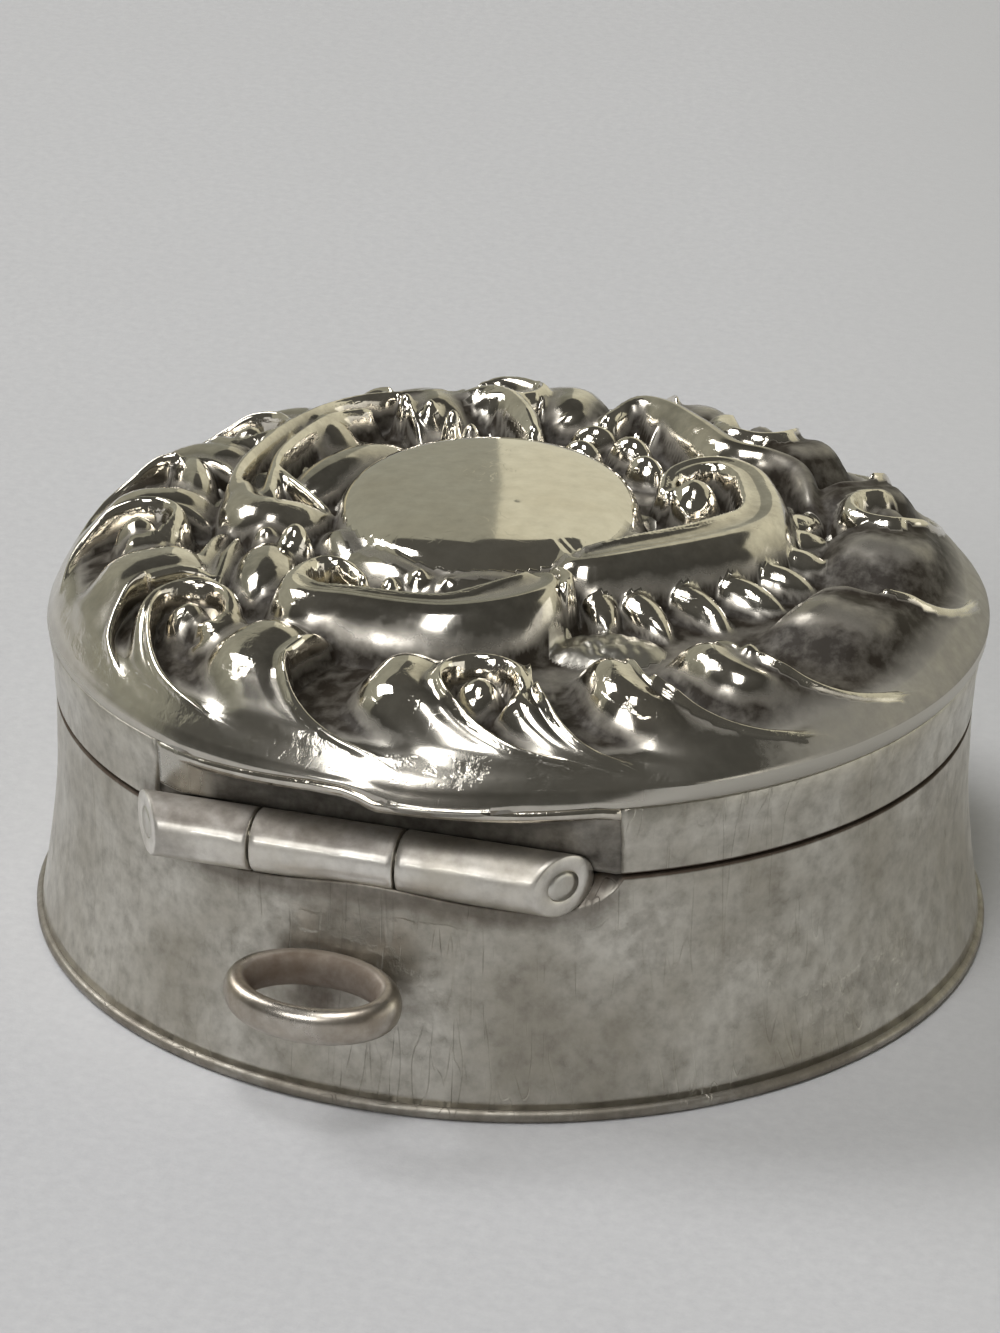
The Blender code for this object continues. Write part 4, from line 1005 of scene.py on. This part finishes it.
# Each lobe of the shell: x and y where it starts, x and y where it ends
SHELL = ((0.165, -0.33, 0.185, -0.42), (0.25, -0.34, 0.305, -0.43), (0.35, -0.29, 0.43, -0.375),
         (0.45, -0.235, 0.55, -0.29), (0.53, -0.16, 0.625, -0.19), (0.58, -0.07, 0.665, -0.075),
         (0.59, 0.03, 0.675, 0.045), (0.585, 0.12, 0.665, 0.165))
# Along a lobe: share of its length, half width, rise
LOBE_ROWS = ((0, 0.045, 0.62), (1, 0.044, 0.58), (2, 0.034, 0.45), (3, 0.010, 0.25))
print("shell of", len(SHELL), "lobes")

# %% [markdown]
# Thinner strokes make the arm at the left, the scroll and the crest at the back, and the folds. The
# small forms beside them are knobs. The far half is seen at a flat angle, so only its main strokes
# are sure.

# %% Strokes, knobs and pebbles
# Rows of a stroke: x, y, half width, rise
ROUND_STROKES = (
    # left arm: knob end, outer ridge, inner ridge, and the thin line down to the boss
    ((-0.40, 0.06, 0.02, 0.6), (-0.46, 0.035, 0.06, 0.95), (-0.53, 0.03, 0.085, 1.08),
     (-0.575, 0.08, 0.07, 1.05), (-0.59, 0.18, 0.05, 0.95)),
    ((-0.60, 0.12, 0.03, 0.95), (-0.605, 0.20, 0.03, 1.05), (-0.585, 0.31, 0.03, 1.08),
     (-0.52, 0.49, 0.028, 1.08), (-0.44, 0.63, 0.026, 1.08), (-0.355, 0.715, 0.024, 1.05),
     (-0.267, 0.754, 0.024, 1.0), (-0.155, 0.79, 0.02, 0.95)),
    ((-0.53, 0.13, 0.035, 0.9), (-0.525, 0.23, 0.03, 1.0), (-0.515, 0.36, 0.026, 1.0),
     (-0.475, 0.48, 0.024, 1.0), (-0.415, 0.60, 0.022, 0.98), (-0.33, 0.67, 0.02, 0.9)),
    ((-0.525, 0.29, 0.022, 0.95), (-0.49, 0.21, 0.022, 0.95), (-0.445, 0.14, 0.018, 0.85),
     (-0.40, 0.07, 0.014, 0.7)),
    # back scroll on the right, with its hook
    ((0.20, 0.66, 0.035, 0.85), (0.265, 0.73, 0.045, 1.05), (0.335, 0.665, 0.055, 1.15),
     (0.40, 0.54, 0.06, 1.18), (0.465, 0.42, 0.06, 1.15), (0.545, 0.39, 0.05, 1.1),
     (0.605, 0.335, 0.045, 1.05), (0.625, 0.24, 0.035, 0.95), (0.63, 0.18, 0.025, 0.75),
     (0.66, 0.145, 0.018, 0.5)),
    # pale curl and crest at the back
    ((-0.12, 0.76, 0.03, 1.0), (-0.045, 0.755, 0.045, 1.15), (0.01, 0.64, 0.045, 1.1),
     (0.035, 0.54, 0.03, 0.9)),
    ((-0.09, 0.88, 0.03, 0.85), (-0.04, 0.905, 0.035, 0.9), (0.03, 0.86, 0.04, 0.95),
     (0.09, 0.76, 0.035, 0.8)),
    # folds left of the bud
    ((-0.665, -0.25, 0.025, 0.5), (-0.65, -0.15, 0.03, 0.7), (-0.63, -0.06, 0.025, 0.7),
     (-0.60, 0.0, 0.015, 0.5)),
    ((-0.62, -0.26, 0.022, 0.5), (-0.605, -0.15, 0.026, 0.7), (-0.585, -0.07, 0.02, 0.7)))
# Each knob: x, y, half length, half width, turn in degrees, rise
KNOBS = (
    # pale knob at a wave's head
    (0.465, -0.645, 0.045, 0.05, 0, 1.08),
    # the volute's ball, the bud, the side lobe and the leaf panel
    (0.378, 0.165, 0.062, 0.066, 0, 1.08), (-0.52, -0.21, 0.075, 0.15, 0, 0.92),
    (-0.465, -0.10, 0.045, 0.05, 0, 1.05), (-0.525, -0.06, 0.04, 0.04, 0, 0.85),
    (-0.70, 0.30, 0.055, 0.17, 8, 0.95), (-0.365, 0.385, 0.20, 0.085, 52, 0.8),
    # leaves behind the boss
    (0.13, 0.68, 0.07, 0.035, 20, 0.8), (0.17, 0.59, 0.065, 0.035, -10, 0.75),
    (0.14, 0.50, 0.055, 0.035, -20, 0.7), (0.25, 0.52, 0.06, 0.04, -30, 0.75),
    (0.28, 0.41, 0.055, 0.035, -35, 0.7),
    # beads at the back left, and the small ones behind the front scroll
    (-0.25, 0.70, 0.032, 0.034, 0, 1.1), (-0.195, 0.665, 0.03, 0.032, 0, 1.1),
    (-0.145, 0.59, 0.03, 0.032, 0, 1.1), (-0.105, 0.52, 0.03, 0.03, 0, 1.0),
    (-0.26, -0.31, 0.032, 0.04, 0, 0.75), (-0.20, -0.29, 0.035, 0.03, 0, 0.85),
    (-0.14, -0.31, 0.03, 0.025, 0, 0.75))
PEBBLE_PATCH = (0.185, -0.50, 0.12, 0.075, 5, 0.28)
print(len(ROUND_STROKES), "strokes and", len(KNOBS), "knobs")

# %% [markdown]
# The oval boss was left plain for an owner's letters. It is a short steep wall with a shallow dome,
# and small pointed leaves stand round its front like an apron.

# %% Boss and apron
BOSS_PLACE = (-0.06, 0.095)
BOSS_RADII = (0.33, 0.40)
BOSS_WALL_SHARE = 0.92
BOSS_WALL_POWER = 16
BOSS_DOME_SHARE = 0.21
BOSS_DOME_POWER = 2.4
APRON_WIDTH = 0.2
APRON_RISE = 0.78
APRON_LEAVES = 5


def from_boss(x, y):
    """Place seen from the boss's middle in half widths of the boss: (x - middle) / half width."""
    return (x - BOSS_PLACE[0]) / BOSS_RADII[0], (y - BOSS_PLACE[1]) / BOSS_RADII[1]


def boss(x, y):
    """The boss: wall * sqrt(1 - q^16) + dome * (1 - q^2.4), where q is 1 at its edge."""
    q = np.clip(np.hypot(*from_boss(x, y)), 0, 1)
    return BOSS_WALL_SHARE * np.sqrt(1 - q ** BOSS_WALL_POWER) + BOSS_DOME_SHARE * (1 - q ** BOSS_DOME_POWER)


def apron(x, y):
    """Small pointed leaves round the front of the boss, rise * (1 - t^2) over the ring beside it."""
    px, py = from_boss(x, y)
    t = np.clip((np.hypot(px, py) - 1) / APRON_WIDTH, 0, 1)
    leaves = 0.8 + 0.2 * np.abs(np.sin(APRON_LEAVES * np.arctan2(py, px)))
    return APRON_RISE * leaves * (1 - t * t) * np.clip(-2.5 * py, 0, 1)


print("boss", [round(2000 * share * LID_RADIUS, 1) for share in BOSS_RADII], "mm across")

# %% [markdown]
# Each wave's edge is sharpened to a crisp line. A hooked one curls over at its head: a round pit is
# sunk beside it, a ball is left in the pit, and a bent stroke arches over both.

# %% Lips of the waves
LIP_RADII = np.linspace(0.82, 0.965, 12)
LIP_WIDTH = 0.0135
LIP_RISE = 0.085
HOOK_PLACE = 0.80
HOOK_RADIUS = 0.078
HOOK_LAG = radians(5.3)
HOOK_TURNS = np.radians(np.linspace(-95, 85, 9))
HOOK_OUTER_WIDTH = 0.042
HOOK_INNER_WIDTH = 0.017
HOOK_RISE = 1.06
PIT_RADIUS = 0.082
PIT_RISE = 0.12
BALL_RADIUS = 0.056
BALL_RISE = 0.92


def wave_lips(x, y, rise):
    """Crisp lines along the waves' edges, border + 0.085 * sqrt(border) high; a hooked one arches over
    its pit, 0.12 + 0.88 * t^6, with a ball in it. Gives the rise and how much of each place is the
    line's own rubbed top, from 0 to 1."""
    rubbed = np.zeros(x.shape)
    angles = np.radians(edge_angles(LIP_RADII))
    height = np.interp(LIP_RADII, *BORDER_TABLE)
    for i, (_, _, hooked) in enumerate(WAVES):
        cx, cy = LIP_RADII * np.cos(angles[:, i]), LIP_RADII * np.sin(angles[:, i])
        rows = [(a, b, LIP_WIDTH, LIP_WIDTH, h + LIP_RISE * np.sqrt(h)) for a, b, h in zip(cx, cy, height)]
        if hooked:
            middle = angles[0, i] + HOOK_LAG
            px, py = HOOK_PLACE * cos(middle), HOOK_PLACE * sin(middle)
            pit = np.hypot(x - px, y - py) / PIT_RADIUS
            rise = np.where(pit < 1, np.minimum(rise, PIT_RISE + (1 - PIT_RISE) * pit ** 6), rise)
            rise = np.maximum(rise, knob(x, y, (px, py, BALL_RADIUS, BALL_RADIUS, 0, BALL_RISE)))
            turns = middle + pi + HOOK_TURNS
            rows = [(px + HOOK_RADIUS * cos(a), py + HOOK_RADIUS * sin(a), HOOK_OUTER_WIDTH,
                     HOOK_INNER_WIDTH, HOOK_RISE) for a in turns] + rows
        line = stroke(x, y, rows)
        top = stroke(x, y, [(*row[:4], 1) for row in rows])
        rubbed = np.where((line >= rise) & (line > 0), top, rubbed)
        rise = np.maximum(rise, line)
    return rise, rubbed


print("lips", round(2000 * LIP_WIDTH * LID_RADIUS, 2), "mm wide")

# %% [markdown]
# The whole relief is the highest of all its forms at each place. Lower forms pass under higher ones,
# as they do in the metal. Where a wave's line or a lobe of the shell is on top, it is rubbed.

# %% The whole relief
def relief(x, y):
    """Rise of the whole ornament in shares, and how rubbed each place is by hands, from 0 to 1."""
    rise, rubbed = wave_lips(x, y, border_rise(x, y))
    waves = rise
    rise = np.maximum(rise, np.maximum(boss(x, y), apron(x, y)))
    for rows in (FRONT_SCROLL, RIGHT_SCROLL):
        rise = np.maximum(rise, stroke(x, y, rows, GROOVED_SECTION))
    for rows in ROUND_STROKES:
        rise = np.maximum(rise, stroke(x, y, even(rows)))
    for ax, ay, bx, by in SHELL:
        lobe = stroke(x, y, even([((ax * (3 - i) + bx * i) / 3, (ay * (3 - i) + by * i) / 3, w, h)
                                  for i, w, h in LOBE_ROWS]))
        rubbed = np.where(lobe > rise, np.clip(lobe / 0.5, 0, 1) ** 2, rubbed)
        rise = np.maximum(rise, lobe)
        waves = np.where(lobe >= rise, rise, waves)
    for row in KNOBS:
        rise = np.maximum(rise, knob(x, y, row))
    pebbles = 0.5 + 0.5 * np.sin(x * 150 + 2 * np.sin(y * 90)) * np.sin(y * 170 + 2 * np.sin(x * 80))
    rise = np.maximum(rise, knob(x, y, PEBBLE_PATCH) * (0.75 + 0.5 * pebbles))
    return rise, np.where(rise > waves, 0, rubbed)


boss_rise, _ = relief(*np.reshape(BOSS_PLACE, (2, 1)))
print("boss stands", round(float(boss_rise[0]), 2), "of the relief high")

# %% [markdown]
# The grid of the lid has one row per ring and one column per direction. Its columns lean with the
# waves and crowd at their edges, so that a few hundred columns are enough to keep each edge crisp.

# %% The lid's grid
COLUMNS_PER_WAVE = 33
RING_SHARES = np.concatenate((np.linspace(0.012, 0.24, 12, endpoint=False),
                              np.linspace(0.24, 0.60, 56, endpoint=False),
                              np.linspace(0.60, 0.95, 62, endpoint=False),
                              np.linspace(0.95, 1, 9)))


def column_angles(radius):
    """Directions of the columns at one radius, in degrees: even inside, and outside crowded at the
    waves' edges, u - crowd * sin(2 pi u) / (2 pi)."""
    edges = edge_angles(radius)
    u = np.arange(COLUMNS_PER_WAVE) / COLUMNS_PER_WAVE
    crowd = np.interp(radius, (0.5, 0.75), (0, 0.7))
    u = u - crowd * np.sin(2 * pi * u) / (2 * pi)
    return (edges[:-1, None] + u * np.diff(edges)[:, None]).ravel()


def blur(grid, rings, columns):
    """Mean over a block of neighbours, rings by columns, with the columns closed round."""
    for axis, reach in ((0, rings), (1, columns)):
        pad = [(0, 0), (0, 0)]
        pad[axis] = (reach, reach)
        total = np.cumsum(np.pad(grid, pad, mode="wrap" if axis else "edge"), axis)
        total = np.concatenate((np.take(total, [0], axis) * 0, total), axis)
        size, count = 2 * reach + 1, grid.shape[axis]
        high = np.take(total, np.arange(size, size + count), axis)
        grid = (high - np.take(total, np.arange(count), axis)) / size
    return grid


angles = np.radians(np.array([column_angles(share) for share in RING_SHARES]))
plan_x = RING_SHARES[:, None] * np.cos(angles)
plan_y = RING_SHARES[:, None] * np.sin(angles)
rise, rubbed = relief(plan_x, plan_y)
rise = blur(rise, 1, 1)
radius = RING_SHARES[:, None] * LID_RADIUS
height = ground_height(radius) + RELIEF_RISE * rise
print("relief", rise.shape, "highest", round(float(height.max() * 1000), 2), "mm")

# %% [markdown]
# Film stays in the hollows and turns nearly black there, while what stands up is rubbed bright. So it
# follows the relief: each place is compared with the mean round it, over a wide block and a narrow one.
# The border and rim at the right are darkened with painted shade, and more film lies at the back. The
# waves' lines have hardly any, a ring of painted shade lies round the foot of the boss, and the boss
# itself has none.

# %% Film and painted shade on the ornament
PLAIN_FILM = 0.52
WIDE_BLOCK, WIDE_FILM = (12, 14), 1.25
NARROW_BLOCK, NARROW_FILM = (3, 5), 2.2
RIGHT_SHADE = 0.95
FRONT_SCROLL_FILM = 0.2
BACK_FILM = 0.12
RIM_FILM = 0.12
RIM_RIGHT_SHADE = 0.66
RUBBED_FILM = 0.03
PATCH_FILM = 0.1
BOSS_FOOT_SHADE = 0.6
BOSS_FILM = -0.06

above, stands = rise - blur(rise, *WIDE_BLOCK), rise - blur(rise, *NARROW_BLOCK)
on_border = np.interp(RING_SHARES, (0.56, 0.68), (0, 1))[:, None]
# Painted shade: the border and rim darken towards the right.
shaded = np.interp(plan_x, (0.3, 0.65), (0, 1)) * on_border
scroll_front = np.interp(plan_y, (-0.44, -0.34), (1, 0)) * (1 - on_border)
film = PLAIN_FILM - WIDE_FILM * above - NARROW_FILM * stands + RIGHT_SHADE * shaded
film = film + FRONT_SCROLL_FILM * scroll_front
film = film + BACK_FILM * np.interp(plan_y, (0.3, 0.6), (0, 1))
at_rim = np.interp(RING_SHARES, (0.915, 0.95), (0, 1))[:, None]
film = film + (RIM_FILM + RIM_RIGHT_SHADE * shaded - film) * at_rim
film = film * (1 - rubbed) + RUBBED_FILM * rubbed
on_patch = knob(plan_x, plan_y, PEBBLE_PATCH) > 0.02
film = np.where(on_patch, PATCH_FILM, film)
near_boss = np.hypot(*from_boss(plan_x, plan_y))
# Painted shade: a dark ring round the foot of the boss.
film = np.where(near_boss < 1.04, np.maximum(film, BOSS_FOOT_SHADE), film)
film = np.where(near_boss < 0.95, BOSS_FILM, np.clip(film, 0.02, 0.97))
print("film thicker than a half on", round(float((film > 0.5).mean()), 2), "of the vertices")

# %% [markdown]
# The side of the lid drops from the corner to the band. Over the hinge it follows the shifted rim, it
# bulges where it is beaten down, and its corner is worn round and drawn in.

# %% The lid's side
CORNER_DRAWN_IN = 0.00042
WORN_ANGLES = (150, 165, 278, 290)
foot_ring = BAND_TOP_RADIUS + TOP_OVERHANG
inner_foot = BAND_TOP_RADIUS - BAND_THICKNESS
# Each row, from the corner down and up again inside: radius, height, share of the bulge
SIDE_ROWS = ((LID_RADIUS, CORNER_HEIGHT - 0.00004, 0.1), (LID_RADIUS - 0.00001, CORNER_HEIGHT - 0.0002, 0.5),
             (LID_RADIUS - 0.00005, CORNER_HEIGHT - 0.0005, 0.9), (foot_ring, TOP_FOOT + 0.00006, 0.9),
             (foot_ring - 0.00006, TOP_FOOT, 0.9), (inner_foot, TOP_FOOT, 0), (inner_foot, CORNER_HEIGHT, 0))
side_radius, side_height, bulge_share = np.array(SIDE_ROWS).T[..., None]
rim_turns = angles[-1] + ORNAMENT_TURN
rim_degrees = np.degrees(angles[-1]) % 360
shift = rim_shift(LID_RADIUS * np.cos(rim_turns), np.sin(rim_turns))
lower = (CORNER_HEIGHT - side_height) / (CORNER_HEIGHT - TOP_FOOT)
side_z = side_height + np.where(lower > 0.99, np.clip(shift, 0, 1), shift) * lower
bulge = np.clip(-shift, 0, 1) * RIM_BULGE_SHARE * bulge_share
worn = np.interp(rim_degrees, WORN_ANGLES, (0, 1, 1, 0))
side_r = side_radius + bulge - CORNER_DRAWN_IN * worn * np.clip(1 - lower, 0, 1) * (bulge_share > 0)
side = np.stack((side_r * np.cos(rim_turns), side_r * np.sin(rim_turns), side_z), -1)
print("side of", len(SIDE_ROWS), "rings, worn on", round(float((worn > 0.5).mean()), 2), "of the rim")

# %% [markdown]
# The sheet is closed: its top runs over the corner into the side, and comes back underneath. The
# underside follows the ornament, as it does in raised work, but with fewer rings and softened,
# because hardly anyone looks there.

# %% The lid's closed sheet
UNDER_STEP = 7
turn_x = radius * np.cos(angles + ORNAMENT_TURN)
turn_y = radius * np.sin(angles + ORNAMENT_TURN)
drawn_in = 1 - CORNER_DRAWN_IN / LID_RADIUS * worn * np.interp(RING_SHARES, (0.94, 1), (0, 1))[:, None]
top = np.concatenate((np.stack((turn_x * drawn_in, turn_y * drawn_in, height), -1), side[:4]))
rolled = np.stack([blur(top[..., i], 3, 0) for i in range(3)], -1)
corner = np.interp(np.arange(len(top)) - len(RING_SHARES), (-8, -5, 1, 3), (0, 1, 1, 0))[:, None]
top = top + (corner * worn)[..., None] * (rolled - top)
under = np.stack((turn_x, turn_y, blur(height, 2, 3) - SHEET_THICKNESS), -1)
under = under[radius[:, 0] < inner_foot - SHEET_THICKNESS][::-1][::UNDER_STEP]
grid = np.concatenate((top, side[4:], under))
crown = height[0].mean()
lid_top = skin("embossed_lid", grid, flip=True, middles=((0, 0, crown), (0, 0, crown - SHEET_THICKNESS)))
place(lid_top, "lid", "polished_silver", POLISHED, "lid_top")

# %% [markdown]
# The ornament is polished, but its rim and side are dull from handling, and underneath it is dull and
# browned all over. Over the hinge the side is rubbed less dull than elsewhere, most of all near
# the corner.

# %% Finish of the lid
SIDE_FILM = 0.3
UNDER_FILM = 0.2
UNDER_SATIN = 0.7
RIM_SATIN = 0.4
SATIN_ANGLES = (205, 232, 272, 288)


def whole_sheet(over, beside, below):
    """One value for each vertex of the sheet: over its ornament, on its side and underneath."""
    middles = 2
    return np.concatenate((np.broadcast_to(over, film.shape).ravel(),
                           np.broadcast_to(beside, side.shape[:2]).ravel(),
                           np.full(under[..., 0].size + middles, below)))


fade = np.interp(rim_degrees, SATIN_ANGLES, (0.8, 0.5, 0.5, 1))
down = np.interp(np.arange(len(side)), (0, 1, 3), (0.35, 0.6, 1))[:, None]
rim_satin = RIM_SATIN * np.interp(RING_SHARES, (0.90, 0.94), (0, 1))[:, None]
side_satin = fade * np.where(fade > 0.9, 1, down)
store(lid_top, "tarnish_and_shade", whole_sheet(film, SIDE_FILM, UNDER_FILM))
store(lid_top, "satin", whole_sheet(np.maximum(on_patch, rim_satin), side_satin, UNDER_SATIN))
print("side is satin from", round(float(side_satin.min()), 2), "to", round(float(side_satin.max()), 2))

# %% [markdown]
# ## Floor and light
# The box stands on pale card. Its grain is a fine noise in the colour and in the height, with broad
# blotches over it, and the card is painted a little darker to the right, as painted shade.

# %% Floor
TABLE_SIZE = 4
FIBRE_SCALE = 1900
FIBRE_COLOURS = ((0.505, 0.505, 0.52), (0.575, 0.575, 0.585))
FIBRE_DEPTH = 0.00004
BLOTCH_SCALE = 60
BLOTCH_COLOUR = (0.49, 0.49, 0.50)
RIGHT_SHADE_COLOUR = (0.50, 0.50, 0.505)
half = TABLE_SIZE / 2
table = new_mesh("table", [(-half, -half, 0), (half, -half, 0), (half, half, 0), (-half, half, 0)],
                 [(0, 1, 2, 3)])
card = bpy.data.materials.new("pale_card")
card.use_nodes = True
tree = card.node_tree
shader = tree.nodes["Principled BSDF"]
place_of = tree.nodes.new("ShaderNodeTexCoord").outputs["Object"]
to_side = node(tree, "ShaderNodeMapping", Rotation=(0, 0, -VIEW_AZIMUTH))
tree.links.new(place_of, to_side.inputs["Vector"])
apart = tree.nodes.new("ShaderNodeSeparateXYZ")
tree.links.new(to_side.outputs["Vector"], apart.inputs["Vector"])
fibres = noise(tree, place_of, FIBRE_SCALE, 5, 0.7)
blotches = noise(tree, place_of, BLOTCH_SCALE, 3)
tone = mix(tree, ramp(tree, fibres, 0.3, 0.7), *FIBRE_COLOURS)
tone = mix(tree, ramp(tree, blotches, 0.35, 0.65, 0, 0.12), tone, BLOTCH_COLOUR)
# Painted shade: the card darkens towards the right.
tone = mix(tree, ramp(tree, apart.outputs["X"], 0.012, 0.034), tone, RIGHT_SHADE_COLOUR)
tree.links.new(tone, shader.inputs["Base Color"])
tree.links.new(ramp(tree, fibres, 0.2, 0.8, 0.75, 0.9), shader.inputs["Roughness"])
bump = node(tree, "ShaderNodeBump", Strength=0.6, Distance=FIBRE_DEPTH)
tree.links.new(fibres, bump.inputs["Height"])
tree.links.new(bump.outputs["Normal"], shader.inputs["Normal"])
table.data.materials.append(card)

# %% [markdown]
# Polished silver shows the room rather than itself. Three small bright windows, one above the camera and
# two at the left, give the sharp highlights. A pale door at the right and two dim walls behind give the
# broad soft tones. Each is a rectangular lamp, whose power follows from how bright it should look.

# %% Lamps and walls
ROOM_COLOUR = (0.085, 0.083, 0.075, 1)
world = bpy.data.worlds.new("room")
bpy.context.scene.world = world
world.use_nodes = True
world.node_tree.nodes["Background"].inputs[0].default_value = ROOM_COLOUR


def soft_light(name, azimuth, height, size, radiance, distance=1.0, colour=(1, 1, 1), upright=False):
    """A rectangular light seen from the box at an azimuth and a height, both from the camera's side.
    Its power is radiance * pi * area, so that it looks equally bright at any distance."""
    turn, climb = VIEW_AZIMUTH + radians(azimuth), radians(height)
    towards = Vector((sin(turn) * cos(climb), -cos(turn) * cos(climb), sin(climb)))
    away = distance * cos(climb) if upright else distance
    data = bpy.data.lights.new(name, "AREA")
    data.shape = "RECTANGLE"
    data.size, data.size_y = (2 * away * tan(radians(s) / 2) for s in size)
    data.energy = radiance * pi * data.size * data.size_y
    data.color = colour
    lamp = bpy.data.objects.new(name, data)
    bpy.context.scene.collection.objects.link(lamp)
    lamp.location = towards * distance
    if upright:
        towards.z = 0
    lamp.rotation_euler = towards.to_track_quat("Z", "Y").to_euler()


soft_light("upper_window", -12, 65, (13, 26), 12)
soft_light("side_window", -112, 45, (22, 26), 9)
soft_light("low_window", -35, 31, (20, 13), 9, 1.2)
soft_light("pale_door", 75, 10, (60, 26), 0.8, 1.5, (1, 0.98, 0.92), True)
soft_light("cream_wall", 135, 22, (90, 62), 0.56, 1.5, (1, 0.965, 0.75), True)
soft_light("grey_wall", -135, 22, (90, 62), 0.23, 1.5, (1, 1, 0.80), True)
bpy.context.scene.view_settings.view_transform = "Standard"
